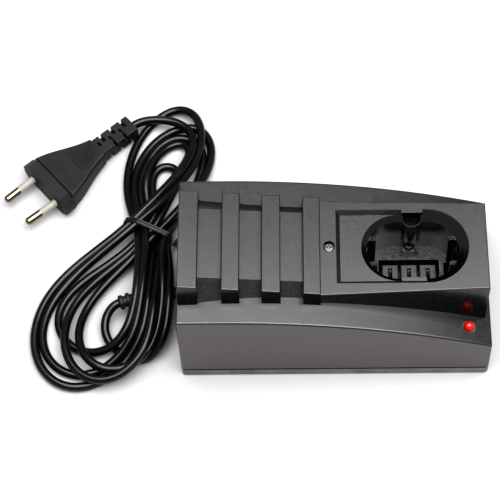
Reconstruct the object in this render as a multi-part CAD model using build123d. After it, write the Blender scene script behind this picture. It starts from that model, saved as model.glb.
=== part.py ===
from build123d import *
import math
import os

# Power tool battery charger: a moulded two-part housing with a pocket for a pod battery,
# a transformer and a circuit board inside, and a two-core mains lead tied in a hank.
# Millimetres. X runs to the right, Y to the back, Z up. The origin is on the surface that
# the charger stands on, under the middle of its housing.

# ---------------------------------------------------------------- driving dimensions

# Housing
BODY_LENGTH = 149.3
BODY_WIDTH = 80.4          # at the seam
SPREAD = BODY_LENGTH / 149.3   # the places along X below are given for a body 149.3 long
WALL = 2.4
SIDE_DRAFT = 1.6           # degrees, front and back walls
FOOT_HEIGHT = 0.6
BASE_RIM_TOP = 4.75        # top of the base's outer rim
SHELL_RIM = 5.65           # lower rim of the top shell, above the seam groove
SEAM_DEPTH = 1.2
TONGUE_TOP = 9.0
TONGUE_THICKNESS = 1.25
TONGUE_CLEARANCE = 0.15
BASE_FLOOR = 2.4           # thickness
BASE_CHAMFER = 0.4
BASE_CORNER = 2.2          # round of the base's upright corners
BASE_FLARE = 0.7           # how far its front and back walls lean out at the bottom
ROOF_Z = 52.1              # flat roof at the left end
ROOF_FLAT_END = -55.8 * SPREAD      # where the roof starts to curve down to the right
ROOF_RADIUS = 352.0
BODY_EDGE_ROUND = 0.9
EDGE_ROUND = 0.5           # edges of the ridges and of the socket block

# Ridges across the left half, and the channels between them
RIDGE_STARTS = (-73.7 * SPREAD, -53.2 * SPREAD, -34.4 * SPREAD, -14.9 * SPREAD)
RIDGE_ENDS = (-64.4 * SPREAD, -44.8 * SPREAD, -25.5 * SPREAD, -6.7 * SPREAD)
RIDGE_TOP_LEFT = 65.1      # height of the ridges' common top line at its left end
RIDGE_FALL = 7.15          # degrees that line falls to the right
RIDGE_HALF_LENGTH = 26.2   # at the top
RIDGE_END_LEAN = 12.0      # degrees
CHANNEL_FLOOR_LEFT = 61.0  # height of the channel floors' line at the same left end
CHANNEL_FALL = 5.85
CHANNEL_HALF_LENGTH = 18.6
CHANNEL_END_SLOPE = 41.0   # degrees from level
BANK_ROOT_Z = 45.0         # ridges and channels are built up from inside the housing

# Socket block and battery pocket
PLATE_Z = 55.1
BLOCK_LEFT = RIDGE_ENDS[-1]
BLOCK_RIGHT = 72.5 * SPREAD   # at the plate
BLOCK_HALF_LEFT = 24.9     # half width of the plate at its left end, to the back
BLOCK_FRONT_LEFT = 26.0    # and to the front
BLOCK_HALF_RIGHT = 22.9
BLOCK_DRAFT = 4.9
BLOCK_END_DRAFT = -1.6     # the block's end wall leans in a little below the plate
BLOCK_ROOT_Z = 24.0
SOCKET_X = 37.3 * SPREAD   # axis of the battery pocket
POCKET_RADIUS = 15.4       # half width of the pocket, and radius of its round ends
POCKET_STRAIGHT = 13.2     # straight part between the round ends
POCKET_WALL = 2.0
POCKET_FLOOR_Z = 27.5
POCKET_DRAFT = 0.5
MOUTH_BEVEL = 4.4          # 45 degree bevel round the pocket's mouth
RECESS_LEFT = 0.9 * SPREAD   # shallow recess left of the mouth, at the plate
RECESS_DEPTH = 1.9
BACK_TAB_WIDTH = 10.1
BACK_TAB_REACH = 17.9      # distance of its front edge from the pocket's axis
FRONT_TAB_WIDTH = 11.8
FRONT_TAB_REACH = 15.8
KEY_RIB_RADIUS = 5.0       # the round key rib under the back tab, which is hollow
KEY_RIB_BACK = 1.9         # its axis beyond the pocket's half width
KEY_RIB_LOW = 34.5
KEY_BORE_RADIUS = 4.2
KEY_BORE_LOW = 37.0
LATCH_HALF_WIDTH = 5.5
LATCH_RIB = (5.6, 7.8)     # the two ribs beside each latch recess, from the middle line
LATCH_RIB_REACH = 4.7
LATCH_RIB_DROP = 0.7       # their tops below the throat
LATCH_DEPTH = 1.7
LATCH_LOW = 42.0
LATCH_SLOT_WIDTH = 4.0
LATCH_SILL = 1.4
WINDOW_MARGIN = 1.75       # gap between the terminal block and its window in the floor
WINDOW_BACK = 7.3
WINDOW_FRONT = -8.0
BOSS_SIDE = 6.0
BOSS_FRONT = 9.6
BOSS_TOP = 31.5

# Screws
SCREW_SHANK = 1.45
SCREW_PLAY = 0.05
SCREW_THROUGH = 1.75
HEAD_RADIUS = 2.5
HEAD_HEIGHT = 1.7
CROSS_WIDTH = 0.8
CROSS_DEPTH = 0.9
TOP_SCREW_X = -2.5 * SPREAD
TOP_HOLE_RADIUS = 2.9
TOP_HOLE_DEPTH = 2.4
TOP_SCREW_LENGTH = 20.0
CENTRE_JOINT_Z = 42.0      # where the top shell's centre boss meets the base's post
POST_RADIUS = 3.5
POST_LEFT = -66.5 * SPREAD
POST_RIGHT = 50.0 * SPREAD
POST_Y = 32.0
CORNER_POSTS = ((POST_LEFT, -POST_Y), (POST_LEFT, POST_Y), (POST_RIGHT, -POST_Y), (POST_RIGHT, POST_Y))
CORNER_JOINT_Z = 12.0
CORNER_BOSS_RADIUS = 4.8
CASE_HEAD_RADIUS = 3.0
CASE_HEAD_SEAT = 5.5
CASE_SCREW_LENGTH = 15.0
PILOT_DEPTH = 13.0

# Feet
FOOT_RADIUS = 5.0
FOOT_RECESS = 0.8
FOOT_LEFT = -56.0 * SPREAD
FOOT_RIGHT = 62.0 * SPREAD
FOOT_Y = 31.0
FOOT_PLACES = ((FOOT_LEFT, -FOOT_Y), (FOOT_LEFT, FOOT_Y), (FOOT_RIGHT, -FOOT_Y), (FOOT_RIGHT, FOOT_Y))

# Vent slots in the base
VENT_COUNT = 7
VENT_WIDTH = 2.0
VENT_LENGTH = 26.0
VENT_PITCH = 5.0

# Terminal block and contacts
TERMINAL_SHIFT = -0.8      # of the towers and the small boss from the pocket's axis
TOWER_COUNT = 3
TOWER_WIDTH = 7.7
TOWER_PITCH = 9.1
TOWER_TOP = 28.0
TOWER_BACK = 4.4
TOWER_FRONT = -6.4
BLOCK_BASE_TOP = 20.0
BLOCK_SIDE = 1.0           # the base stands this far out beyond the end towers
SLOT_WIDTH = 2.0
SLOT_BACK = 2.4
SLOT_FRONT = -5.4
SLOT_FLOOR = 12.4
LEAF_WIDTH = 1.4
LEAF_THICKNESS = 0.4
LEAF_Y = -3.5
LEAF_LOW = 12.6
LEAF_BULGE_Z = 23.6
LEAF_BULGE = 1.6
LEAF_TOP = 27.2
PIN_SIDE = 0.8

# Circuit board and what stands on it
BOARD_LEFT = 2.5 * SPREAD
BOARD_RIGHT = 70.0 * SPREAD
BOARD_HALF_WIDTH = 27.0
BOARD_LOW = 9.0
BOARD_THICKNESS = 1.6
BOARD_EAR_LEFT = 58.0 * SPREAD
BOARD_EAR_MARGIN = 3.7     # of the board's ear beyond the light
BOARD_SCREW_LEFT = 6.0 * SPREAD
BOARD_SCREW_RIGHT = 54.0 * SPREAD
BOARD_SCREW_Y = 23.5
BOARD_SCREWS = (
    (BOARD_SCREW_LEFT, -BOARD_SCREW_Y),
    (BOARD_SCREW_LEFT, BOARD_SCREW_Y),
    (BOARD_SCREW_RIGHT, -BOARD_SCREW_Y),
    (BOARD_SCREW_RIGHT, BOARD_SCREW_Y),
)
STANDOFF_RADIUS = 2.8
BOARD_SCREW_LENGTH = 6.0
CAPACITOR_X = 11.5 * SPREAD
CAPACITOR_RADIUS = 6.0
CAPACITOR_HEIGHT = 12.5
DIODE_X = 13.0 * SPREAD
DIODE_Y = -17.0
DIODE_PITCH = 4.2
DIODE_RADIUS = 1.35
DIODE_LENGTH = 5.2
RESISTOR_X = 13.0 * SPREAD
RESISTOR_Y = 10.5
RESISTOR_RADIUS = 1.1
RESISTOR_LENGTH = 6.2
RESISTOR_PITCH = 4.0
LEAD_RADIUS = 0.35
LEAD_REACH = 2.4
SINK_X = 62.0 * SPREAD
SINK_LENGTH = 24.0
SINK_DEPTH = 9.0
SINK_HEIGHT = 12.0
SINK_FINS = 5
SINK_FIN = 1.2
THYRISTOR_BODY = (4.5, 10.0, 9.0)
FUSE_RADIUS = 2.6
FUSE_LENGTH = 20.0
FUSE_X = 34.0 * SPREAD
FUSE_Y = -19.0
CLIP_WIDTH = 4.0
CLIP_WALL = 0.6
CHIP_SIZE = (9.4, 6.3, 3.4)
CHIP_X = 34.0 * SPREAD
CHIP_Y = 16.0

# Status light
LED_X = 63.8 * SPREAD
LED_FROM_SIDE = 9.4        # of its axis from the front side, at the seam
LED_Y = LED_FROM_SIDE - BODY_WIDTH / 2
LED_RADIUS = 2.5
LED_FLANGE = 2.9
LED_FLANGE_HEIGHT = 1.0
LED_HEIGHT = 8.7
LED_RISE = 2.3             # dome above the roof
LED_PLAY = 0.15
LED_SLEEVE = 4.3
LED_RING = 3.35            # shallow round recess about the light
LED_RING_DEPTH = 1.1
LED_LEG = 0.5
LED_LEG_PITCH = 2.54

# Transformer
CORE_X = -36.0 * SPREAD
CORE_LENGTH = 48.0 * SPREAD
CORE_HEIGHT = CORE_LENGTH * 5 / 6
CORE_STACK = 26.0
CORE_LOW = 5.2
LEG = CORE_LENGTH / 6
BOBBIN_WALL = 1.0
BOBBIN_GAP = 0.2
FRAME_THICKNESS = 0.8
FRAME_WIDTH = 22.0
FRAME_TAB = 5.0
HOLD_RIB_GAP = 0.3
RAIL_WIDTH = 1.8
CORNER_RIB_HEIGHT = 4.0
CORNER_RIB = 1.6
CORNER_RIB_REACH = 7.0
WIRE_RADIUS = 0.8
MAINS_WIRE_Z = 9.3
WIRE_Y = 17.0
WIRE_RISE = 4.5            # of the secondary wires above the bobbin
WIRE_BOARD_X = 4.5 * SPREAD
WIRE_BEND = 1.8

# Mains lead where it enters
CORD_RADIUS = 2.3
CORD_Z = 9.3
BOOT_NECK = 3.6
BOOT_COLLAR = 5.4
BOOT_COLLAR_THICKNESS = 1.5
BOOT_PLAY = 0.1
BOOT_ROOT = 4.6            # radius of the boot at the wall
BOOT_TIP = 3.7             # radius of its last rib
BOOT_CORE = 2.9
BOOT_BEND_RADIUS = 93.0
BOOT_LENGTH = 32.0
BOOT_RIBS = 9
BOOT_RIB_SHARE = 0.55      # of the pitch
BOOT_RIB_SETBACK = 0.15    # of the last rib from the boot's end face
CLAMP_X = -67.0 * SPREAD
CLAMP_WIDTH = 5.0
CLAMP_HALF_LENGTH = 9.0
CLAMP_GAP = 0.8
CLAMP_TOP = 13.5
CLAMP_SCREW_Y = 6.2
CLAMP_SCREW_LENGTH = 7.0
TAIL_END = -64.4 * SPREAD

# Mains lead outside: hand-placed points of the two stretches that aren't in the hank.
# They, the hank and the plug are given for an end wall at -WALL_DATUM, and move with it.
WALL_DATUM = 74.65
LEAD_START_RUN = 3.2       # along the boot's axis
LEAD_POINTS = (
    (-113.4, -11.2, 6.9),
    (-115.2, -17.4, 4.6),
    (-114.0, -23.7, 3.1),
    (-110.1, -28.8, 2.4),
)
PLUG_LEAD_START_RUN = 4.2   # along the plug's axis
PLUG_LEAD_POINTS = (
    (-92.9, 104.6, 8.6),
    (-84.3, 103.2, 10.6),
    (-77.2, 98.3, 11.5),
    (-72.7, 91.1, 11.6),
    (-71.9, 82.6, 11.6),
    (-74.6, 73.6, 11.6),
    (-79.4, 64.4, 11.5),
    (-83.9, 55.6, 10.9),
    (-87.4, 47.6, 10.2),
)
RUN_SHARE = 0.45           # how much of a run each of its two corners may take
END_SHARE = 0.9
CORD_BED_PLAY = 0.1        # round a lead where it lies in the hank

# Hank
WAIST = (-91.0, 37.6)
WAIST_RADIUS = 10.0
LOWER_LOOP = (-115.5, -15.5, 35.6)     # centre and radius
UPPER_LOOP = (-83.5, 91.0, 24.2)
LOWER_HOLE = (-110.5, -17.0, 11.0)
LOWER_HOLE_TIP = (-104.5, 8.0, 3.5)
LOOP_HEIGHT = 9.4          # two layers of the lead
WAIST_HEIGHT = 15.4
WAIST_REACH = 14.0         # how far the thicker middle runs from the tie
HANK_ROUND = 3.0
BRIDGE_FOOT = (-42.0, 34.0)  # Y of the ends of the stretch that climbs over the boot
BRIDGE_CREST = (-20.0, 14.0)
BRIDGE_LEFT = -101.0
BRIDGE_TOP = 20.6
BRIDGE_TUNNEL = (-11.5, 6.2)
BRIDGE_TUNNEL_Z = 14.3
TIE_ANGLE = 66.2           # direction of the bundle at the tie, degrees
TIE_WIDTH = 4.2
TIE_THICKNESS = 0.7
TIE_GROOVE = 1.0
TIE_PLAY = 0.15
TIE_TAIL_RADIUS = 0.8
TIE_TAIL = 12.0

# Plug
PLUG_FACE = (-147.2, 61.5)   # middle of the face that the pins stand in
PLUG_ANGLE = 41.3            # direction from the pins to the cord, degrees
FLANGE_WIDTH = 35.3
FLANGE_HEIGHT = 13.7
FLANGE_LENGTH = 6.4
FLANGE_CUT = 4.6           # of the flange's four corners
PLUG_BODY_LENGTH = 28.6
PLUG_HALF_WIDTHS = (15.6, 14.3, 12.3, 10.0, 8.0, 6.6)
PLUG_STEP = 0.5
PLUG_TAIL_HEIGHT = 9.6
PLUG_EDGE_ROUND = 1.6
RELIEF_LENGTH = 23.0
RELIEF_WIDTH = 10.4
RELIEF_HEIGHT = 8.8
RELIEF_CORE = 2.6          # radius of its round core
RELIEF_ROUND = 0.5
RELIEF_WEB = 0.5           # half thickness of the web between its upper and lower layers
WIDE_SLOTS = (5.3, 12.0, 18.8)   # middles of the slots from one edge, beyond the body
WIDE_SLOT = 2.0
WIDE_SLOT_TIP = 0.2        # how far these slots stop short of the middle line
NARROW_SLOTS = (8.7, 15.3)   # middles of the slots from the other edge
NARROW_SLOT = 1.5
NARROW_SLOT_TIP = -1.1
BLIND_SLOT = (2.0, 1.3)      # middle and width of the short closed slot next to the body
BLIND_SLOT_ENDS = (-0.9, 2.1)
PIN_RADIUS = 2.0
PIN_LENGTH = 19.0
PIN_PITCH = 18.6
PIN_TIP_PITCH = 17.5
SLEEVE_LENGTH = 10.0
SLEEVE_WALL = 0.3
PIN_ROOT = 5.0             # how deep the pins are moulded into the plug
SLEEVE_GAP = 0.3           # between the flange and the sleeves

BODY_LOW = FOOT_HEIGHT
FLOOR_Z = BODY_LOW + BASE_FLOOR
BOARD_TOP = BOARD_LOW + BOARD_THICKNESS
LEFT_WALL = -BODY_LENGTH / 2
TERMINAL_X = SOCKET_X + TERMINAL_SHIFT
TOWER_XS = [TERMINAL_X + (i - (TOWER_COUNT - 1) / 2) * TOWER_PITCH for i in range(TOWER_COUNT)]


# ---------------------------------------------------------------- helpers

def write(name, *solids):
    """Write one node: one solid, or a group of separate solids."""
    shape = solids[0] if len(solids) == 1 else Compound(children=list(solids))
    export_step(shape, f"parts/{name}.step")


def box(x, y, z):
    """A box between two X, two Y and two Z values."""
    size = [abs(pair[1] - pair[0]) for pair in (x, y, z)]
    centre = [(pair[0] + pair[1]) / 2 for pair in (x, y, z)]
    return Pos(*centre) * Box(*size)


def rod(x, y, z_low, z_high, radius):
    """An upright cylinder."""
    return Pos(x, y, (z_low + z_high) / 2) * Cylinder(radius, z_high - z_low)


def lying_rod(x_low, x_high, y, z, radius):
    """A cylinder along X."""
    return Pos((x_low + x_high) / 2, y, z) * Rot(0, 90, 0) * Cylinder(radius, x_high - x_low)


def polygon(*points):
    """A flat face with straight edges through points in space."""
    return make_face(Polyline(*points, close=True))


def tan(degrees):
    return math.tan(math.radians(degrees))


def pan_screw(x, y, seat, length, head=HEAD_RADIUS, shank=SCREW_SHANK, up=True):
    """A pan-head screw with a cross recess. Its head's underside is at the height seat."""
    sign = 1 if up else -1
    shaft = Pos(0, 0, -length / 2) * Cylinder(shank, length)
    crown = Pos(0, 0, HEAD_HEIGHT / 2) * Cylinder(head, HEAD_HEIGHT)
    crown = fillet(crown.edges().group_by(Axis.Z)[-1], HEAD_HEIGHT * 0.55)
    cross_z = HEAD_HEIGHT - CROSS_DEPTH / 2
    for turn in (0, 90):
        crown -= Pos(0, 0, cross_z) * Rot(0, 0, turn) * Box(head * 1.2, CROSS_WIDTH, CROSS_DEPTH)
    return Pos(x, y, seat) * Rot(0 if sign > 0 else 180, 0, 0) * (crown + shaft)


def tube(points, radii, radius):
    """A round tube along straight runs that are joined by tangent arcs."""
    path = FilletPolyline(*points, radius=radii)
    start = path.edges().sort_by_distance(Vector(*points[0]))[0]
    tangent = path % 0
    section = Plane(origin=points[0], z_dir=tangent) * Circle(radius)
    return sweep(section, path=path), path


def corner_radii(points):
    """The radius at each corner of a route: a share of its shorter run over the tangent of
    half its turn. The first and the last run each serve one corner only."""
    spots = [Vector(*p) for p in points]
    runs = [after - before for before, after in zip(spots, spots[1:])]
    last = len(runs) - 1
    radii = []
    for i, (first, second) in enumerate(zip(runs, runs[1:])):
        half = math.radians(first.get_angle(second)) / 2
        before = first.length * (END_SHARE if i == 0 else RUN_SHARE)
        after = second.length * (END_SHARE if i + 1 == last else RUN_SHARE)
        radii.append(min(before, after) / math.tan(half))
    return radii


# ---------------------------------------------------------------- housing forms

def roof_z(x):
    """Height of the roof's outside at x."""
    run = max(0.0, x - ROOF_FLAT_END)
    return ROOF_Z - ROOF_RADIUS + math.sqrt(ROOF_RADIUS ** 2 - run ** 2)


def housing_form(inset, z_low, z_high=None):
    """The housing's plain form, all its faces set in by inset, above z_low."""
    left = LEFT_WALL + inset
    right = -left
    radius = ROOF_RADIUS - inset
    axis_z = ROOF_Z - ROOF_RADIUS
    top = ROOF_Z - inset

    def arc_point(x):
        return (x, 0, axis_z + math.sqrt(radius ** 2 - (x - ROOF_FLAT_END) ** 2))

    start = (ROOF_FLAT_END, 0, top)
    middle = (ROOF_FLAT_END + right) / 2
    outline = Polyline(arc_point(right), (right, 0, z_low), (left, 0, z_low), (left, 0, top), start)
    outline += ThreePointArc(start, arc_point(middle), arc_point(right))
    side_view = extrude(make_face(outline), amount=BODY_WIDTH, both=True)

    def half_width(z):
        return BODY_WIDTH / 2 - inset - (z - SHELL_RIM) * tan(SIDE_DRAFT)

    end_view = extrude(
        polygon(
            (0, -half_width(z_low), z_low),
            (0, half_width(z_low), z_low),
            (0, half_width(ROOF_Z), ROOF_Z),
            (0, -half_width(ROOF_Z), ROOF_Z),
        ),
        amount=BODY_LENGTH,
        both=True,
    )
    form = side_view & end_view
    if z_high is not None:
        form &= box((-BODY_LENGTH, BODY_LENGTH), (-BODY_WIDTH, BODY_WIDTH), (z_low, z_high))
    return form


def ridge_line(x):
    """Height of the ridges' common top line at x."""
    return RIDGE_TOP_LEFT - (x - RIDGE_STARTS[0]) * tan(RIDGE_FALL)


def channel_line(x):
    """Height of the channel floors' common line at x."""
    return CHANNEL_FLOOR_LEFT - (x - RIDGE_STARTS[0]) * tan(CHANNEL_FALL)


def bank_piece(x_start, x_end, line, half_length, spread, inset):
    """A bar across the housing between two X values, under a falling line, with leaning ends."""

    def section(x):
        top = line(x) - inset
        half = half_length - inset
        low_half = half + (top - BANK_ROOT_Z) * spread
        return polygon(
            (x, -low_half, BANK_ROOT_Z),
            (x, low_half, BANK_ROOT_Z),
            (x, half, top),
            (x, -half, top),
        )

    return loft([section(x_start + inset), section(x_end - inset)], ruled=True)


def ridge(i, inset):
    return bank_piece(
        RIDGE_STARTS[i], RIDGE_ENDS[i], ridge_line, RIDGE_HALF_LENGTH, tan(RIDGE_END_LEAN), inset
    )


def channels(inset):
    """The form whose top is the channel floors, from the first ridge to the last."""
    spread = 1 / tan(CHANNEL_END_SLOPE)
    return bank_piece(
        RIDGE_STARTS[0], RIDGE_ENDS[-1], channel_line, CHANNEL_HALF_LENGTH, spread, inset
    )


def socket_block(inset):
    """The raised block that carries the battery pocket."""

    def section(z):
        lean = (PLATE_Z - z) * tan(BLOCK_DRAFT)
        left_half = BLOCK_HALF_LEFT + lean - inset
        front_half = BLOCK_FRONT_LEFT + lean - inset
        right_half = BLOCK_HALF_RIGHT + lean - inset
        right = BLOCK_RIGHT + (PLATE_Z - z) * tan(BLOCK_END_DRAFT) - inset
        return polygon(
            (BLOCK_LEFT, -front_half, z),
            (right, -right_half, z),
            (right, right_half, z),
            (BLOCK_LEFT, left_half, z),
        )

    return loft([section(BLOCK_ROOT_Z), section(PLATE_Z - inset)], ruled=True)


def stadium(radius):
    """The pocket's outline: two round ends and a straight part."""
    return SlotCenterToCenter(POCKET_STRAIGHT, 2 * radius)


def pocket_void():
    """The bevelled mouth and the drafted pocket below it."""
    throat = PLATE_Z - MOUTH_BEVEL
    above = 1.0
    mouth = extrude(Pos(SOCKET_X, 0, throat) * stadium(POCKET_RADIUS), MOUTH_BEVEL + above, taper=-45)
    depth = throat - POCKET_FLOOR_Z
    well = extrude(Pos(SOCKET_X, 0, throat) * stadium(POCKET_RADIUS), -depth, taper=POCKET_DRAFT)
    return mouth + well


def pocket_walls():
    """The solid wall round the pocket, before the pocket is cut out of it."""
    throat = PLATE_Z - MOUTH_BEVEL
    low = POCKET_FLOOR_Z - POCKET_WALL
    outer = POCKET_RADIUS + POCKET_WALL
    straight = extrude(Pos(SOCKET_X, 0, low) * stadium(outer), PLATE_Z - WALL / 2 - low)
    collar_low = throat - WALL / 2
    collar = extrude(Pos(SOCKET_X, 0, collar_low) * stadium(outer), PLATE_Z - WALL / 2 - collar_low, taper=-45)
    return straight + collar


def recess_void():
    """The shallow bevelled recess that runs into the mouth from the left."""
    floor = PLATE_Z - RECESS_DEPTH
    half = POCKET_RADIUS + MOUTH_BEVEL - RECESS_DEPTH
    left = RECESS_LEFT + RECESS_DEPTH
    length = SOCKET_X - left
    plan = Pos(left + length / 2, 0, floor) * Rectangle(length, 2 * half)
    return extrude(plan, RECESS_DEPTH + 1, taper=-45)


# ---------------------------------------------------------------- housing parts

def make_top_shell():
    outer = housing_form(0, SHELL_RIM)
    rounded = [e for e in outer.edges() if e.center().Z > SHELL_RIM + 1]
    outer = fillet(rounded, BODY_EDGE_ROUND)
    block = socket_block(0)
    block = fillet([e for e in block.edges() if e.center().Z > PLATE_Z - 1 and e.center().X > BLOCK_LEFT + 1], EDGE_ROUND)
    outer += block + channels(0)
    for i in range(len(RIDGE_STARTS)):
        bar = ridge(i, 0)
        tops = [e for e in bar.edges() if e.center().Z > ridge_line(e.center().X) - 1]
        outer += fillet(tops, EDGE_ROUND)
    inner = housing_form(WALL, SHELL_RIM) + socket_block(WALL) + channels(WALL)
    for i in range(len(RIDGE_STARTS)):
        inner += ridge(i, WALL)
    shell = outer - inner

    # battery pocket with its recess
    floor = PLATE_Z - RECESS_DEPTH
    half = POCKET_RADIUS + MOUTH_BEVEL
    shell += box((RECESS_LEFT, SOCKET_X), (-half - 1, half + 1), (floor - WALL, PLATE_Z - WALL / 2))
    shell += pocket_walls()
    shell -= pocket_void() + recess_void()
    shell += pocket_details(+1)
    shell -= pocket_details(-1)

    # screw boss beside the socket
    shell += rod(TOP_SCREW_X, 0, CENTRE_JOINT_Z, PLATE_Z - WALL / 2, POST_RADIUS)
    shell -= rod(TOP_SCREW_X, 0, PLATE_Z - TOP_HOLE_DEPTH, PLATE_Z + 1, TOP_HOLE_RADIUS)
    shell -= rod(TOP_SCREW_X, 0, CENTRE_JOINT_Z - 1, PLATE_Z, SCREW_THROUGH)

    # corner posts
    solid_form = housing_form(WALL / 2, CORNER_JOINT_Z)
    for x, y in CORNER_POSTS:
        shell += rod(x, y, CORNER_JOINT_Z, ROOF_Z, POST_RADIUS) & solid_form
        shell -= rod(x, y, CORNER_JOINT_Z - 1, CORNER_JOINT_Z + PILOT_DEPTH, SCREW_SHANK + SCREW_PLAY)

    # ribs that hold the transformer down
    frame_top = CORE_LOW + CORE_HEIGHT + FRAME_THICKNESS + HOLD_RIB_GAP
    bank_form = channels(WALL / 2)
    for side in (-1, 1):
        x = CORE_X + side * LEG
        rib = box((x - 1, x + 1), (-CHANNEL_HALF_LENGTH + 4, CHANNEL_HALF_LENGTH - 4), (frame_top, ROOF_Z + 10))
        shell += rib & bank_form

    # status light
    light_z = roof_z(LED_X)
    sleeve_low = light_z + LED_RISE - LED_HEIGHT
    shell += rod(LED_X, LED_Y, sleeve_low, ROOF_Z, LED_SLEEVE) & housing_form(WALL / 2, sleeve_low)
    shell -= rod(LED_X, LED_Y, sleeve_low - 1, ROOF_Z, LED_RADIUS + LED_PLAY)
    shell -= rod(LED_X, LED_Y, sleeve_low - 1, sleeve_low + LED_FLANGE_HEIGHT + LED_PLAY, LED_FLANGE + LED_PLAY)
    shell -= rod(LED_X, LED_Y, light_z - LED_RING_DEPTH, ROOF_Z, LED_RING)

    # cord entry
    shell -= lying_rod(LEFT_WALL - 1, LEFT_WALL + WALL + 1, 0, CORD_Z, BOOT_NECK + BOOT_PLAY)
    shell -= box((LEFT_WALL - 1, LEFT_WALL + WALL + 1), (-BOOT_NECK, BOOT_NECK), (SHELL_RIM - 1, CORD_Z))
    return shell


def key_bore():
    """The blind bore of the key rib, open at the top in front of the back tab."""
    axis_y = POCKET_RADIUS + KEY_RIB_BACK
    throat = PLATE_Z - MOUTH_BEVEL
    mouth = rod(SOCKET_X, axis_y, throat - 1, PLATE_Z + 1, KEY_BORE_RADIUS)
    mouth -= box((-BODY_LENGTH, BODY_LENGTH), (BACK_TAB_REACH, BODY_WIDTH), (0, PLATE_Z + 2))
    return mouth + rod(SOCKET_X, axis_y, KEY_BORE_LOW, throat, KEY_BORE_RADIUS)


def pocket_details(kind):
    """What is added to the pocket (+1), or cut from it (-1)."""
    floor_low = POCKET_FLOOR_Z - POCKET_WALL
    throat = PLATE_Z - MOUTH_BEVEL
    if kind > 0:
        rim = POCKET_RADIUS + MOUTH_BEVEL
        half = BACK_TAB_WIDTH / 2
        added = box(
            (SOCKET_X - half, SOCKET_X + half), (BACK_TAB_REACH, rim + 1), (throat + 1, PLATE_Z)
        )
        half = FRONT_TAB_WIDTH / 2
        added += box(
            (SOCKET_X - half, SOCKET_X + half), (-rim, -FRONT_TAB_REACH), (throat - 1, PLATE_Z - RECESS_DEPTH)
        )
        added += rod(SOCKET_X, POCKET_RADIUS + KEY_RIB_BACK, KEY_RIB_LOW, throat, KEY_RIB_RADIUS)
        half = BOSS_SIDE / 2
        boss_x = (TERMINAL_X - half, TERMINAL_X + half)
        added += box(boss_x, (BOSS_FRONT, POCKET_RADIUS + 0.5), (floor_low, BOSS_TOP))
        end = POCKET_STRAIGHT / 2 + POCKET_RADIUS
        for side in (-1, 1):
            x = (SOCKET_X + side * end, SOCKET_X + side * (end - LATCH_RIB_REACH))
            for edge in (-1, 1):
                y = tuple(edge * place for place in LATCH_RIB)
                added += box(x, y, (floor_low, throat - LATCH_RIB_DROP))
        return added
    end = POCKET_STRAIGHT / 2 + POCKET_RADIUS
    half_window = TOWER_PITCH * (TOWER_COUNT - 1) / 2 + TOWER_WIDTH / 2 + WINDOW_MARGIN
    cut = box(
        (TERMINAL_X - half_window, TERMINAL_X + half_window),
        (WINDOW_FRONT, WINDOW_BACK),
        (floor_low - 1, POCKET_FLOOR_Z + 1),
    )
    for side in (-1, 1):
        wall_x = SOCKET_X + side * end
        y = (-LATCH_HALF_WIDTH, LATCH_HALF_WIDTH)
        cut += box((wall_x - side * 4, wall_x + side * LATCH_DEPTH), y, (LATCH_LOW, throat - LATCH_SILL))
        slot_x = wall_x - side * POCKET_WALL
        cut += box((slot_x, slot_x - side * LATCH_SLOT_WIDTH), y, (floor_low - 1, POCKET_FLOOR_Z + 1))
    cut += key_bore()
    screw_y = (BOSS_FRONT + POCKET_RADIUS) / 2
    cut += rod(TERMINAL_X, screw_y, floor_low - 1, BOSS_TOP + 1, SCREW_SHANK * 0.8 + SCREW_PLAY)
    return cut


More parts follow.
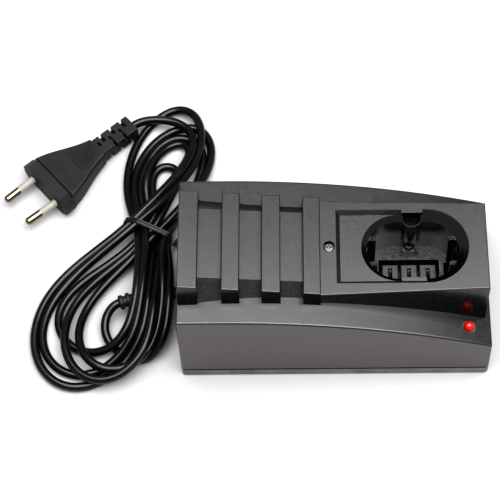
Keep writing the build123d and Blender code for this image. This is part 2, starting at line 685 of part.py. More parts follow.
def make_base_shell():
    top = Pos(0, 0, BASE_RIM_TOP) * RectangleRounded(BODY_LENGTH, BODY_WIDTH, BASE_CORNER)
    bottom = Pos(0, 0, BODY_LOW) * RectangleRounded(BODY_LENGTH, BODY_WIDTH + 2 * BASE_FLARE, BASE_CORNER)
    tray = loft([bottom, top], ruled=True)
    lowest = tray.edges().group_by(Axis.Z)[0]
    tray = chamfer(lowest, BASE_CHAMFER)
    tray += housing_form(SEAM_DEPTH, BASE_RIM_TOP - 1, SHELL_RIM)
    seat = WALL + TONGUE_CLEARANCE
    tray += housing_form(seat, SHELL_RIM - 1, TONGUE_TOP)
    tray -= housing_form(seat + TONGUE_THICKNESS, FLOOR_Z, TONGUE_TOP + 1)

    # corner bosses and the centre post
    for x, y in CORNER_POSTS:
        tray += rod(x, y, BODY_LOW, CORNER_JOINT_Z, CORNER_BOSS_RADIUS)
        tray -= rod(x, y, BODY_LOW - 1, CASE_HEAD_SEAT, CASE_HEAD_RADIUS + 0.4)
        tray -= rod(x, y, BODY_LOW, CORNER_JOINT_Z + 1, SCREW_THROUGH)
    tray += rod(TOP_SCREW_X, 0, FLOOR_Z - 1, CENTRE_JOINT_Z, POST_RADIUS)
    tray -= rod(TOP_SCREW_X, 0, CENTRE_JOINT_Z - PILOT_DEPTH, CENTRE_JOINT_Z + 1, SCREW_SHANK + SCREW_PLAY)

    # board standoffs
    for x, y in BOARD_SCREWS:
        tray += rod(x, y, FLOOR_Z - 1, BOARD_LOW, STANDOFF_RADIUS)
        tray -= rod(x, y, FLOOR_Z, BOARD_LOW + 1, SCREW_SHANK * 0.8 + SCREW_PLAY)

    # rails and corner ribs under and round the transformer
    half_x = CORE_LENGTH / 2
    half_y = CORE_STACK / 2
    for side in (-1, 1):
        y = side * (half_y - RAIL_WIDTH / 2)
        tray += box(
            (CORE_X - half_x, CORE_X + half_x),
            (y - RAIL_WIDTH / 2, y + RAIL_WIDTH / 2),
            (FLOOR_Z - 1, CORE_LOW),
        )
        for end in (-1, 1):
            corner_x = CORE_X + end * (half_x + FRAME_THICKNESS + BOBBIN_GAP)
            corner_y = side * (half_y + BOBBIN_GAP)
            outer_x = corner_x + end * CORNER_RIB
            outer_y = corner_y + side * CORNER_RIB
            inner_x = corner_x - end * CORNER_RIB_REACH
            tray += box((inner_x, outer_x), (corner_y, outer_y), (FLOOR_Z - 1, CORNER_RIB_HEIGHT + FLOOR_Z))

    # cord clamp pad
    half_pad = CLAMP_WIDTH / 2
    tray += box(
        (CLAMP_X - half_pad, CLAMP_X + half_pad),
        (-CLAMP_HALF_LENGTH, CLAMP_HALF_LENGTH),
        (FLOOR_Z - 1, CORD_Z - CLAMP_GAP / 2),
    )
    tray -= lying_rod(CLAMP_X - half_pad - 1, CLAMP_X + half_pad + 1, 0, CORD_Z, CORD_RADIUS + SCREW_PLAY)
    for y in (-CLAMP_SCREW_Y, CLAMP_SCREW_Y):
        tray -= rod(CLAMP_X, y, FLOOR_Z, CORD_Z, SCREW_SHANK * 0.8 + SCREW_PLAY)

    # clearance for the boot's collar and neck in the tongue, and the vents
    tray -= lying_rod(LEFT_WALL - 1, LEFT_WALL + WALL + BOOT_COLLAR_THICKNESS + 1, 0, CORD_Z, BOOT_COLLAR + BOOT_PLAY)
    for i in range(VENT_COUNT):
        x = CORE_X + (i - (VENT_COUNT - 1) / 2) * VENT_PITCH
        tray -= box((x - VENT_WIDTH / 2, x + VENT_WIDTH / 2), (-VENT_LENGTH / 2 + 4, VENT_LENGTH / 2 - 4), (0, FLOOR_Z + 0.5))
    for x, y in FOOT_PLACES:
        tray -= rod(x, y, BODY_LOW - 1, BODY_LOW + FOOT_RECESS, FOOT_RADIUS)
    return tray


def make_feet():
    """Four round rubber feet, pressed into recesses in the base."""
    feet = []
    for x, y in FOOT_PLACES:
        foot = rod(x, y, 0, BODY_LOW + FOOT_RECESS, FOOT_RADIUS)
        feet.append(chamfer(foot.edges().group_by(Axis.Z)[0], 0.5))
    return feet


# ---------------------------------------------------------------- terminals

def make_terminal_block():
    half = TOWER_PITCH * (TOWER_COUNT - 1) / 2 + TOWER_WIDTH / 2
    base_half = half + BLOCK_SIDE
    block = box(
        (TERMINAL_X - base_half, TERMINAL_X + base_half), (TOWER_FRONT, TOWER_BACK), (BOARD_TOP, BLOCK_BASE_TOP)
    )
    for x in TOWER_XS:
        tower = box((x - TOWER_WIDTH / 2, x + TOWER_WIDTH / 2), (TOWER_FRONT, TOWER_BACK), (BLOCK_BASE_TOP - 1, TOWER_TOP))
        tower = chamfer(tower.edges().group_by(Axis.Z)[-1], 0.4)
        block += tower
    for x in TOWER_XS:
        block -= box((x - SLOT_WIDTH / 2, x + SLOT_WIDTH / 2), (SLOT_FRONT, SLOT_BACK), (SLOT_FLOOR, TOWER_TOP + 1))
        block -= box((x - PIN_SIDE / 2, x + PIN_SIDE / 2), (LEAF_Y - PIN_SIDE / 2, LEAF_Y + PIN_SIDE / 2), (BOARD_TOP - 1, SLOT_FLOOR + 1))
    return block


def make_leaf(x):
    """A bent copper leaf: straight up from its root, out to a contact bulge, and back."""
    t = LEAF_THICKNESS / 2
    centre = [
        (LEAF_Y, LEAF_LOW),
        (LEAF_Y, LEAF_BULGE_Z - 4.0),
        (LEAF_Y + LEAF_BULGE, LEAF_BULGE_Z),
        (LEAF_Y + 0.2, LEAF_TOP),
    ]
    back = [(x - LEAF_WIDTH / 2, y + t, z) for y, z in centre]
    front = [(x - LEAF_WIDTH / 2, y - t, z) for y, z in reversed(centre)]
    return extrude(polygon(*back, *front), amount=LEAF_WIDTH, dir=(1, 0, 0))


def make_pins():
    half = PIN_SIDE / 2
    low = BOARD_LOW - 1.2
    return [
        box((x - half, x + half), (LEAF_Y - half, LEAF_Y + half), (low, SLOT_FLOOR)) for x in TOWER_XS
    ]


# ---------------------------------------------------------------- circuit board

def make_board():
    board = box((BOARD_LEFT, BOARD_RIGHT), (-BOARD_HALF_WIDTH, BOARD_HALF_WIDTH), (BOARD_LOW, BOARD_TOP))
    board += box((BOARD_EAR_LEFT, BOARD_RIGHT), (LED_Y - BOARD_EAR_MARGIN, 0), (BOARD_LOW, BOARD_TOP))
    for x, y in BOARD_SCREWS:
        board -= rod(x, y, BOARD_LOW - 1, BOARD_TOP + 1, SCREW_THROUGH)
    half = PIN_SIDE / 2
    for x in TOWER_XS:
        board -= box((x - half, x + half), (LEAF_Y - half, LEAF_Y + half), (BOARD_LOW - 1, BOARD_TOP + 1))
    return board


def axial_part(x, y, radius, length):
    """A small round part lying along X, with both leads bent down to the board."""
    z = BOARD_TOP + radius + 0.6
    body = lying_rod(x - length / 2, x + length / 2, y, z, radius)
    reach = length / 2 + LEAD_REACH
    path = FilletPolyline((x - reach, y, BOARD_TOP), (x - reach, y, z), (x, y, z), radius=1.0)
    left = sweep(Plane(origin=(x - reach, y, BOARD_TOP), z_dir=(0, 0, 1)) * Circle(LEAD_RADIUS), path=path)
    right = mirror(left, Plane.YZ.offset(x))
    return body + left + right


def make_diodes():
    return [axial_part(DIODE_X, DIODE_Y + i * DIODE_PITCH, DIODE_RADIUS, DIODE_LENGTH) for i in (-1, 0, 1, 2)]


def make_resistors():
    return [axial_part(RESISTOR_X, RESISTOR_Y + i * RESISTOR_PITCH, RESISTOR_RADIUS, RESISTOR_LENGTH) for i in (0, 1, 2)]


def make_heat_sink():
    """A finned aluminium sink standing on the board."""
    half = SINK_LENGTH / 2
    back = SINK_X + SINK_DEPTH / 2
    sink = box((back - SINK_FIN * 1.5, back), (-half, half), (BOARD_TOP, BOARD_TOP + SINK_HEIGHT))
    step = (SINK_LENGTH - SINK_FIN) / (SINK_FINS - 1)
    for i in range(SINK_FINS):
        y = -half + i * step
        if abs(y + SINK_FIN / 2) > THYRISTOR_BODY[1] / 2 + 1:
            sink += box((SINK_X - SINK_DEPTH / 2, back), (y, y + SINK_FIN), (BOARD_TOP, BOARD_TOP + SINK_HEIGHT))
    return sink


def make_thyristor():
    """A TO-220 body against the sink, on three legs."""
    depth, width, height = THYRISTOR_BODY
    face = SINK_X + SINK_DEPTH / 2 - SINK_FIN * 1.5
    low = BOARD_TOP + SINK_HEIGHT - height
    body = box((face - depth, face), (-width / 2, width / 2), (low, BOARD_TOP + SINK_HEIGHT))
    for y in (-2.54, 0, 2.54):
        body += box((face - depth / 2 - 0.3, face - depth / 2 + 0.3), (y - 0.4, y + 0.4), (BOARD_TOP, low + 1))
    return body


def make_fuse():
    z = BOARD_TOP + CLIP_WALL + FUSE_RADIUS + 0.4
    return lying_rod(FUSE_X - FUSE_LENGTH / 2, FUSE_X + FUSE_LENGTH / 2, FUSE_Y, z, FUSE_RADIUS)


def make_fuse_clips():
    """Two spring clips with upright cheeks on both sides of the fuse's caps."""
    z = BOARD_TOP + CLIP_WALL + FUSE_RADIUS + 0.4
    clips = []
    for side in (-1, 1):
        x = FUSE_X + side * (FUSE_LENGTH - CLIP_WIDTH) / 2
        half = FUSE_RADIUS + CLIP_WALL
        clip = box((x - CLIP_WIDTH / 2, x + CLIP_WIDTH / 2), (FUSE_Y - half, FUSE_Y + half), (BOARD_TOP, z + FUSE_RADIUS * 0.6))
        clip -= lying_rod(x - CLIP_WIDTH, x + CLIP_WIDTH, FUSE_Y, z, FUSE_RADIUS)
        clip -= box((x - CLIP_WIDTH, x + CLIP_WIDTH), (FUSE_Y - FUSE_RADIUS * 0.85, FUSE_Y + FUSE_RADIUS * 0.85), (z, z + 2 * FUSE_RADIUS))
        clips.append(clip)
    return clips


def make_chip():
    length, width, height = CHIP_SIZE
    x, y = CHIP_X, CHIP_Y
    chip = box((x - length / 2, x + length / 2), (y - width / 2, y + width / 2), (BOARD_TOP + 0.5, BOARD_TOP + height))
    for i in range(4):
        pin_x = x + (i - 1.5) * 2.54
        chip += box((pin_x - 0.25, pin_x + 0.25), (y - width / 2 - 0.6, y + width / 2 + 0.6), (BOARD_TOP, BOARD_TOP + 1.8))
    return chip


def make_led():
    """The red light: a domed cylinder with a flange at its foot."""
    low = roof_z(LED_X) + LED_RISE - LED_HEIGHT
    dome_z = low + LED_HEIGHT - LED_RADIUS
    led = rod(LED_X, LED_Y, low, dome_z, LED_RADIUS) + Pos(LED_X, LED_Y, dome_z) * Sphere(LED_RADIUS)
    return led + rod(LED_X, LED_Y, low, low + LED_FLANGE_HEIGHT, LED_FLANGE)


def make_led_legs():
    low = roof_z(LED_X) + LED_RISE - LED_HEIGHT
    half = LED_LEG / 2
    legs = []
    for x in (LED_X - LED_LEG_PITCH / 2, LED_X + LED_LEG_PITCH / 2):
        legs.append(box((x - half, x + half), (LED_Y - half, LED_Y + half), (BOARD_TOP, low)))
    return legs


# ---------------------------------------------------------------- transformer

def make_core():
    """The stacked iron laminations: outer frame, centre leg and two windows."""
    half = CORE_LENGTH / 2
    top = CORE_LOW + CORE_HEIGHT
    core = box((CORE_X - half, CORE_X + half), (-CORE_STACK / 2, CORE_STACK / 2), (CORE_LOW, top))
    for side in (-1, 1):
        x = CORE_X + side * 1.5 * LEG
        core -= box((x - LEG / 2, x + LEG / 2), (-CORE_STACK, CORE_STACK), (CORE_LOW + LEG, top - LEG))
    return core


def winding_ring(inner, outer, z_low, z_high):
    """A rectangular ring round the core's centre leg, inner and outer mm away from it."""

    def block(offset):
        half_x = LEG + offset
        half_y = CORE_STACK / 2 + offset
        return box((CORE_X - half_x, CORE_X + half_x), (-half_y, half_y), (z_low, z_high))

    ring = block(outer)
    ring = fillet(ring.edges().filter_by(Axis.Z), min(2.5, outer * 0.45))
    return ring - block(inner)


def bobbin_levels():
    low = CORE_LOW + LEG + BOBBIN_GAP
    high = CORE_LOW + CORE_HEIGHT - LEG - BOBBIN_GAP
    middle = (low + high) / 2
    return low, middle, high


def make_bobbin():
    """A plastic spool with end flanges and a divider between the two windings."""
    low, middle, high = bobbin_levels()
    reach = LEG - BOBBIN_GAP
    spool = winding_ring(BOBBIN_GAP, BOBBIN_GAP + BOBBIN_WALL, low, high)
    for z in (low, middle - BOBBIN_WALL / 2, high - BOBBIN_WALL):
        spool += winding_ring(BOBBIN_GAP, reach, z, z + BOBBIN_WALL)
    return spool


def make_winding(upper):
    low, middle, high = bobbin_levels()
    half_wall = BOBBIN_WALL / 2
    levels = (middle + half_wall, high - BOBBIN_WALL) if upper else (low + BOBBIN_WALL, middle - half_wall)
    return winding_ring(BOBBIN_GAP + BOBBIN_WALL, LEG - 3 * BOBBIN_GAP, *levels)


def make_frame():
    """A steel strap over the core, with tabs crimped under it."""
    half = CORE_LENGTH / 2
    y = (-FRAME_WIDTH / 2, FRAME_WIDTH / 2)
    top = CORE_LOW + CORE_HEIGHT
    outer_half = half + FRAME_THICKNESS
    strap = box((CORE_X - outer_half, CORE_X + outer_half), y, (CORE_LOW - FRAME_THICKNESS, top + FRAME_THICKNESS))
    strap -= box((CORE_X - half, CORE_X + half), y, (CORE_LOW, top))
    inner_half = half - FRAME_TAB
    strap -= box((CORE_X - inner_half, CORE_X + inner_half), y, (CORE_LOW - 2, CORE_LOW))
    return strap


def make_mains_wires():
    """The lead's two cores, from the clamp round both sides of the core to the bobbin."""
    low = bobbin_levels()[0]
    wires = []
    for side in (-1, 1):
        turn_x = TAIL_END + WIRE_BEND + 0.2
        near = side * CORD_RADIUS / 2
        far = side * WIRE_Y
        end_x = CORE_X - LEG
        points = [
            (TAIL_END, near, MAINS_WIRE_Z),
            (turn_x, near, MAINS_WIRE_Z),
            (turn_x, far, MAINS_WIRE_Z),
            (end_x, far, MAINS_WIRE_Z),
            (end_x, far, low),
        ]
        wires.append(tube(points, WIRE_BEND, WIRE_RADIUS)[0])
    return wires


def make_secondary_wires():
    """From the bobbin's top flange over the core and down to the board."""
    high = bobbin_levels()[2]
    wires = []
    for side in (-1, 1):
        y = side * WIRE_Y
        start_x = CORE_X + LEG
        points = [
            (start_x, y, high),
            (start_x, y, high + WIRE_RISE),
            (WIRE_BOARD_X, y, high + WIRE_RISE),
            (WIRE_BOARD_X, y, BOARD_TOP),
        ]
        wires.append(tube(points, WIRE_BEND, WIRE_RADIUS)[0])
    return wires


# ---------------------------------------------------------------- mains lead

def boot_place(distance):
    """Plane on the boot's bent axis, at a distance from the end wall. Its Z runs outwards."""
    turn = distance / BOOT_BEND_RADIUS
    x = LEFT_WALL - BOOT_BEND_RADIUS * math.sin(turn)
    y = -BOOT_BEND_RADIUS * (1 - math.cos(turn))
    return Plane(origin=(x, y, CORD_Z), z_dir=(-math.cos(turn), -math.sin(turn), 0))


def make_boot():
    """A bent strain relief: collars each side of the wall, a core and rings that taper."""
    axis = CenterArc((LEFT_WALL, -BOOT_BEND_RADIUS, CORD_Z), BOOT_BEND_RADIUS, 90, math.degrees(BOOT_LENGTH / BOOT_BEND_RADIUS))
    boot = sweep(boot_place(0) * Circle(BOOT_CORE), path=axis)
    pitch = BOOT_LENGTH / BOOT_RIBS
    for i in range(BOOT_RIBS):
        share = i / (BOOT_RIBS - 1)
        radius = BOOT_ROOT + (BOOT_TIP - BOOT_ROOT) * share
        thickness = pitch * BOOT_RIB_SHARE
        ring = Pos(0, 0, thickness / 2) * Cylinder(radius, thickness)
        ring = fillet(ring.edges().filter_by(GeomType.CIRCLE), thickness * 0.3)
        boot += boot_place((i + 1) * pitch - thickness - BOOT_RIB_SETBACK).location * ring
    start = LEFT_WALL - BOOT_COLLAR_THICKNESS
    end = LEFT_WALL + WALL + BOOT_COLLAR_THICKNESS
    boot += lying_rod(start, LEFT_WALL, 0, CORD_Z, BOOT_COLLAR)
    boot += lying_rod(LEFT_WALL - 1, end - 1, 0, CORD_Z, BOOT_NECK)
    boot += lying_rod(LEFT_WALL + WALL, end, 0, CORD_Z, BOOT_COLLAR)
    return boot


def make_inner_tail():
    return lying_rod(LEFT_WALL + WALL + BOOT_COLLAR_THICKNESS, TAIL_END, 0, CORD_Z, CORD_RADIUS)


def make_clamp():
    half = CLAMP_WIDTH / 2
    low = CORD_Z + CLAMP_GAP / 2
    bar = box((CLAMP_X - half, CLAMP_X + half), (-CLAMP_HALF_LENGTH, CLAMP_HALF_LENGTH), (low, CLAMP_TOP))
    bar = fillet(bar.edges().filter_by(Axis.X).group_by(Axis.Z)[-1], 1.5)
    bar -= lying_rod(CLAMP_X - CLAMP_WIDTH, CLAMP_X + CLAMP_WIDTH, 0, CORD_Z, CORD_RADIUS + SCREW_PLAY)
    for y in (-CLAMP_SCREW_Y, CLAMP_SCREW_Y):
        bar -= rod(CLAMP_X, y, low - 1, CLAMP_TOP + 1, SCREW_SHANK * 0.8 + SCREW_PLAY)
    return bar


def boot_side_route():
    """Route of the lead from the boot's tip into the middle of the hank."""
    tip = boot_place(BOOT_LENGTH)
    first = tip.origin + tip.z_dir * LEAD_START_RUN
    shift = LEFT_WALL + WALL_DATUM
    return [tuple(tip.origin), tuple(first), *[(x + shift, y, z) for x, y, z in LEAD_POINTS]]


def plug_side_route():
    """Route of the lead from the plug's relief over the hank's upper loop."""
    tail = plug_location() * Pos(plug_length(), 0, 0)
    first = tail * Pos(PLUG_LEAD_START_RUN, 0, 0)
    shift = LEFT_WALL + WALL_DATUM
    return [tuple(tail.position), tuple(first.position), *[(x + shift, y, z) for x, y, z in PLUG_LEAD_POINTS]]


def teardrop(loop, tip):
    """The outline round a large loop and a small end: their circles and common tangents."""
    edges = [Pos(loop[0], loop[1]) * Edge.make_circle(loop[2]), Pos(tip[0], tip[1]) * Edge.make_circle(tip[2])]
    return make_hull(edges)


def tie_slab(extra):
    """A plate across the bundle at the tie, extra mm wider than the tie."""
    return Pos(WAIST[0], WAIST[1], 0) * Rot(0, 0, TIE_ANGLE) * Box(TIE_WIDTH + 2 * extra, 80, 80)


def waist_core(inset):
    """The bundle's section at the tie, set in by inset, as a long bar."""
    height = WAIST_HEIGHT - 2 * inset
    width = 2 * (WAIST_RADIUS - inset)
    bar = Box(40, width, height)
    bar = fillet(bar.edges().filter_by(Axis.X), HANK_ROUND)
    return Pos(WAIST[0], WAIST[1], WAIST_HEIGHT / 2) * Rot(0, 0, TIE_ANGLE) * bar


def hank_bridge(outline):
    """The limb that climbs over the boot, with sloping ends."""
    left = BRIDGE_LEFT
    side_view = polygon(
        (left, BRIDGE_FOOT[0], 0),
        (left, BRIDGE_FOOT[1], 0),
        (left, BRIDGE_FOOT[1], LOOP_HEIGHT),
        (left, BRIDGE_CREST[1], BRIDGE_TOP),
        (left, BRIDGE_CREST[0], BRIDGE_TOP),
        (left, BRIDGE_FOOT[0], LOOP_HEIGHT),
    )
    return extrude(side_view, amount=-WALL_DATUM - left, dir=(1, 0, 0)) & extrude(outline, BRIDGE_TOP)


def make_hank():
    """The outer shape of the tied hank: two loops that meet in a narrow waist."""
    waist = (*WAIST, WAIST_RADIUS)
    lower_outline = teardrop(LOWER_LOOP, waist)
    upper_outline = teardrop(UPPER_LOOP, waist)
    hank = extrude(lower_outline, LOOP_HEIGHT) + extrude(upper_outline, LOOP_HEIGHT)
    middle = extrude(Pos(*WAIST) * Circle(WAIST_REACH), WAIST_HEIGHT)
    hank += middle & (extrude(lower_outline, WAIST_HEIGHT) + extrude(upper_outline, WAIST_HEIGHT))
    hank += hank_bridge(lower_outline)
    hank -= extrude(teardrop(LOWER_HOLE, LOWER_HOLE_TIP), BRIDGE_TOP)
    hank -= box((BRIDGE_LEFT - 10, -WALL_DATUM), BRIDGE_TUNNEL, (0, BRIDGE_TUNNEL_Z))
    groove = tie_slab(TIE_PLAY) - waist_core(TIE_GROOVE)
    hank -= groove & extrude(Pos(*WAIST) * Circle(2 * WAIST_RADIUS), 2 * WAIST_HEIGHT)
    hank = Pos(LEFT_WALL + WALL_DATUM, 0, 0) * hank
    half_notch = RELIEF_WIDTH / 2 + 1
    hank -= plug_location() * box(
        (FLANGE_LENGTH, plug_length() + 0.3), (-half_notch, half_notch), (-FLANGE_HEIGHT, FLANGE_HEIGHT)
    )
    return hank


def make_tie():
    """A flat tie wound round the waist, with its twisted end on top."""
    band = waist_core(TIE_GROOVE - TIE_PLAY - TIE_THICKNESS) - waist_core(TIE_GROOVE - TIE_PLAY)
    band &= tie_slab(0)
    top = WAIST_HEIGHT - TIE_GROOVE + TIE_PLAY
    end = Pos(WAIST[0], WAIST[1], top + TIE_TAIL_RADIUS) * Rot(0, 0, TIE_ANGLE - 90) * Pos(6, 0, 0)
    tail = end * Rot(0, 0, -97) * Pos(TIE_TAIL / 2, 0, TIE_TAIL_RADIUS + 0.3) * Rot(0, 90, 0) * Cylinder(TIE_TAIL_RADIUS, TIE_TAIL)
    knot = end * Pos(0, 0, TIE_TAIL_RADIUS) * Box(2.4, TIE_WIDTH * 0.6, 2.4 * TIE_TAIL_RADIUS)
    return Pos(LEFT_WALL + WALL_DATUM, 0, 0) * (band + knot + tail)


# ---------------------------------------------------------------- plug

def plug_location():
    shift = LEFT_WALL + WALL_DATUM
    return Pos(PLUG_FACE[0] + shift, PLUG_FACE[1], FLANGE_HEIGHT / 2) * Rot(0, 0, PLUG_ANGLE)


def plug_length():
    return FLANGE_LENGTH + PLUG_BODY_LENGTH + RELIEF_LENGTH


def make_relief(start):
    """The slotted relief: two flat layers round a core, each slotted from both edges in turn."""
    middle = start + RELIEF_LENGTH / 2
    bar = Pos(middle, 0, 0) * Box(RELIEF_LENGTH, RELIEF_WIDTH, RELIEF_HEIGHT)
    bar = fillet(bar.edges().filter_by(Axis.X), RELIEF_ROUND)
    for layer in (-1, 1):
        z = (layer * RELIEF_WEB, layer * RELIEF_HEIGHT)
        for place in WIDE_SLOTS:
            x = (start + place - WIDE_SLOT / 2, start + place + WIDE_SLOT / 2)
            bar -= box(x, (layer * WIDE_SLOT_TIP, layer * RELIEF_WIDTH), z)
        for place in NARROW_SLOTS:
            x = (start + place - NARROW_SLOT / 2, start + place + NARROW_SLOT / 2)
            bar -= box(x, (-layer * NARROW_SLOT_TIP, -layer * RELIEF_WIDTH), z)
        place, width = BLIND_SLOT
        x = (start + place - width / 2, start + place + width / 2)
        bar -= box(x, tuple(layer * y for y in BLIND_SLOT_ENDS), z)
    return bar + lying_rod(start, start + RELIEF_LENGTH, 0, 0, RELIEF_CORE)


def make_plug_body():
    """A flat two-pin plug: flange, a body that narrows in a curve, and a segmented relief."""
    section = chamfer(Rectangle(FLANGE_WIDTH, FLANGE_HEIGHT).vertices(), FLANGE_CUT)
    flange = extrude(Plane.YZ * section, FLANGE_LENGTH)
    flange = fillet(flange.edges().group_by(Axis.X)[-1], 0.4)
    count = len(PLUG_HALF_WIDTHS) - 1
    xs = [FLANGE_LENGTH + PLUG_BODY_LENGTH * i / count for i in range(count + 1)]
    left_side = Spline(*[(x, half) for x, half in zip(xs, PLUG_HALF_WIDTHS)])
    right_side = Spline(*[(x, -half) for x, half in zip(xs, PLUG_HALF_WIDTHS)])
    closing = [
        Line((xs[0], PLUG_HALF_WIDTHS[0]), (xs[0], -PLUG_HALF_WIDTHS[0])),
        Line((xs[-1], PLUG_HALF_WIDTHS[-1]), (xs[-1], -PLUG_HALF_WIDTHS[-1])),
    ]
    plan = make_face([left_side.edge(), right_side.edge(), closing[0].edge(), closing[1].edge()])
    body = extrude(plan, FLANGE_HEIGHT / 2, both=True)
    start_half = FLANGE_HEIGHT / 2 - PLUG_STEP
    tail_half = PLUG_TAIL_HEIGHT / 2
    side_view = extrude(
        polygon((xs[0], 0, -start_half), (xs[-1], 0, -tail_half), (xs[-1], 0, tail_half), (xs[0], 0, start_half)),
        FLANGE_WIDTH,
        both=True,
    )
    body &= side_view
    long_edges = [e for e in body.edges() if e.length > PLUG_BODY_LENGTH * 0.9]
    body = fillet(long_edges, PLUG_EDGE_ROUND)
    plug = flange + body

    start = xs[-1]
    plug += make_relief(start)
    return plug_location() * plug


def pin_axis(side):
    """Place at a pin's root, its Z pointing out of the plug. The pins lean together a little."""
    lean = math.degrees(math.atan((PIN_PITCH - PIN_TIP_PITCH) / 2 / PIN_LENGTH))
    return plug_location() * Pos(0, side * PIN_PITCH / 2, 0) * Rot(0, 0, 180 + side * lean) * Rot(0, 90, 0)


def make_pins_and_sleeves():
    pins = []
    sleeves = []
    inner = PIN_RADIUS - SLEEVE_WALL
    for side in (-1, 1):
        metal = rod(0, 0, SLEEVE_LENGTH, PIN_LENGTH, PIN_RADIUS)
        metal = fillet(metal.edges().group_by(Axis.Z)[-1], PIN_RADIUS * 0.85)
        metal += rod(0, 0, -PIN_ROOT, SLEEVE_LENGTH, inner)
        sleeve = rod(0, 0, SLEEVE_GAP, SLEEVE_LENGTH, PIN_RADIUS)
        sleeve -= rod(0, 0, -PIN_ROOT, PIN_LENGTH, inner)
        pins.append(pin_axis(side) * metal)
        sleeves.append(pin_axis(side) * sleeve)
    return pins, sleeves


# ---------------------------------------------------------------- build

write("top_shell", make_top_shell())
write("base_shell", make_base_shell())
write("rubber_feet", *make_feet())
write("case_screws", *[
    pan_screw(x, y, CASE_HEAD_SEAT, CASE_SCREW_LENGTH, head=CASE_HEAD_RADIUS, up=False) for x, y in CORNER_POSTS
])
write("top_screw", pan_screw(TOP_SCREW_X, 0, PLATE_Z - TOP_HOLE_DEPTH, TOP_SCREW_LENGTH))
write("pocket_screw", pan_screw(
    TERMINAL_X, (BOSS_FRONT + POCKET_RADIUS) / 2, BOSS_TOP, 5.0, head=2.2, shank=SCREW_SHANK * 0.8
))

write("terminal_block", make_terminal_block())
for name, tower_x in zip(("contact_left", "contact_centre", "contact_right"), TOWER_XS):
    write(name, make_leaf(tower_x))
write("terminal_pins", *make_pins())

write("circuit_board", make_board())
write("board_screws", *[
    pan_screw(x, y, BOARD_TOP, BOARD_SCREW_LENGTH, shank=SCREW_SHANK * 0.8) for x, y in BOARD_SCREWS
])
write("filter_capacitor", rod(CAPACITOR_X, 0, BOARD_TOP, BOARD_TOP + CAPACITOR_HEIGHT, CAPACITOR_RADIUS))
write("rectifier_diodes", *make_diodes())
write("resistors", *make_resistors())
write("heat_sink", make_heat_sink())
write("thyristor", make_thyristor())
write("fuse", make_fuse())
write("fuse_clips", *make_fuse_clips())
write("control_chip", make_chip())
write("status_led", make_led())
write("led_legs", *make_led_legs())

write("transformer_core", make_core())
write("transformer_bobbin", make_bobbin())
write("primary_winding", make_winding(False))
write("secondary_winding", make_winding(True))
write("transformer_frame", make_frame())
write("mains_wires", *make_mains_wires())
write("secondary_wires", *make_secondary_wires())

write("strain_relief_boot", make_boot())
write("cord_inner_tail", make_inner_tail())
write("cord_clamp", make_clamp())
write("clamp_screws", *[
    pan_screw(CLAMP_X, y, CLAMP_TOP, CLAMP_SCREW_LENGTH, head=2.2, shank=SCREW_SHANK * 0.8)
    for y in (-CLAMP_SCREW_Y, CLAMP_SCREW_Y)
])

hank = make_hank()
for label, route in (("cord_lead_boot_side", boot_side_route()), ("cord_lead_plug_side", plug_side_route())):
    bends = corner_radii(route)
    lead, lead_path = tube(route, bends, CORD_RADIUS)
    print(label, "radii", [round(r, 1) for r in bends], "length", round(lead_path.length, 1))
    print("  volume over section times length", round(lead.volume / (math.pi * CORD_RADIUS ** 2 * lead_path.length), 4))
    write(label, lead)
    hank -= tube(route, bends, CORD_RADIUS + CORD_BED_PLAY)[0]
write("cord_hank", hank)
write("twist_tie", make_tie())
plug = make_plug_body()
metal_pins, pin_sleeves = make_pins_and_sleeves()
for piece in metal_pins + pin_sleeves:
    plug -= piece
write("plug_body", plug)
write("plug_pins", *metal_pins)
write("pin_sleeves", *pin_sleeves)
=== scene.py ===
"""Dresses the battery charger: its grained housing, its contacts, the tied mains lead and the plug."""

import logging
import math
from dataclasses import dataclass
from enum import Enum

import bpy
import numpy as np
from mathutils import Matrix, Vector


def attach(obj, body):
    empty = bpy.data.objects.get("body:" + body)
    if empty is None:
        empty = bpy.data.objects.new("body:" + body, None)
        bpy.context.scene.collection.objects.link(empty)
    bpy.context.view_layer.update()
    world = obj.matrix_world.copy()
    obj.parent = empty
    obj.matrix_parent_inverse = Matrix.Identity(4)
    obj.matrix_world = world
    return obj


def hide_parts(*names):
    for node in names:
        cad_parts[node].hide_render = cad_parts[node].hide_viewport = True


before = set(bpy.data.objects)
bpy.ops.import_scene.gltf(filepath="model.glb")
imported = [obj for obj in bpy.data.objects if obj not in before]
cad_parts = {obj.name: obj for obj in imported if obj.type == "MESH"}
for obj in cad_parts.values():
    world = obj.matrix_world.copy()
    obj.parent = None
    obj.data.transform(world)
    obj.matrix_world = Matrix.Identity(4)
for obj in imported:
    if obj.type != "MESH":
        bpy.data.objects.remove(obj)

LOG = logging.getLogger("charger")
MM = 0.001
FULL_TURN = 2 * math.pi
HOUSING_BODY = "charger"
UP = Vector((0, 0, 1))
UNIT_RANGE = (0.0, 1.0)
# A noise pattern seldom leaves this range, so it is stretched from it.
NOISE_RANGE = (0.3, 0.7)
# At a scale of one, the wave texture repeats at this distance.
WAVE_REPEAT = math.pi / 10

Pair = tuple[float, float]
Triple = tuple[float, float, float]
Material = bpy.types.Material
Piece = bpy.types.Object
Socket = bpy.types.NodeSocket
Tree = bpy.types.NodeTree


# ---- helpers

def linear(hex_colour: str) -> tuple[float, float, float, float]:
    """Turn an sRGB hex colour to linear values.

    Args:
        hex_colour: Six hex digits after a hash.

    Returns:
        Linear red, green, blue, and an alpha of one.
    """
    parts = [int(hex_colour[i:i + 2], 16) / 255 for i in (1, 3, 5)]
    values = [p / 12.92 if p <= 0.04045 else ((p + 0.055) / 1.055) ** 2.4 for p in parts]
    return (*values, 1.0)


def per_mm(size_mm: float) -> float:
    """Return the texture scale, per metre, of a pattern whose repeat is size_mm."""
    return 1 / (size_mm * MM)


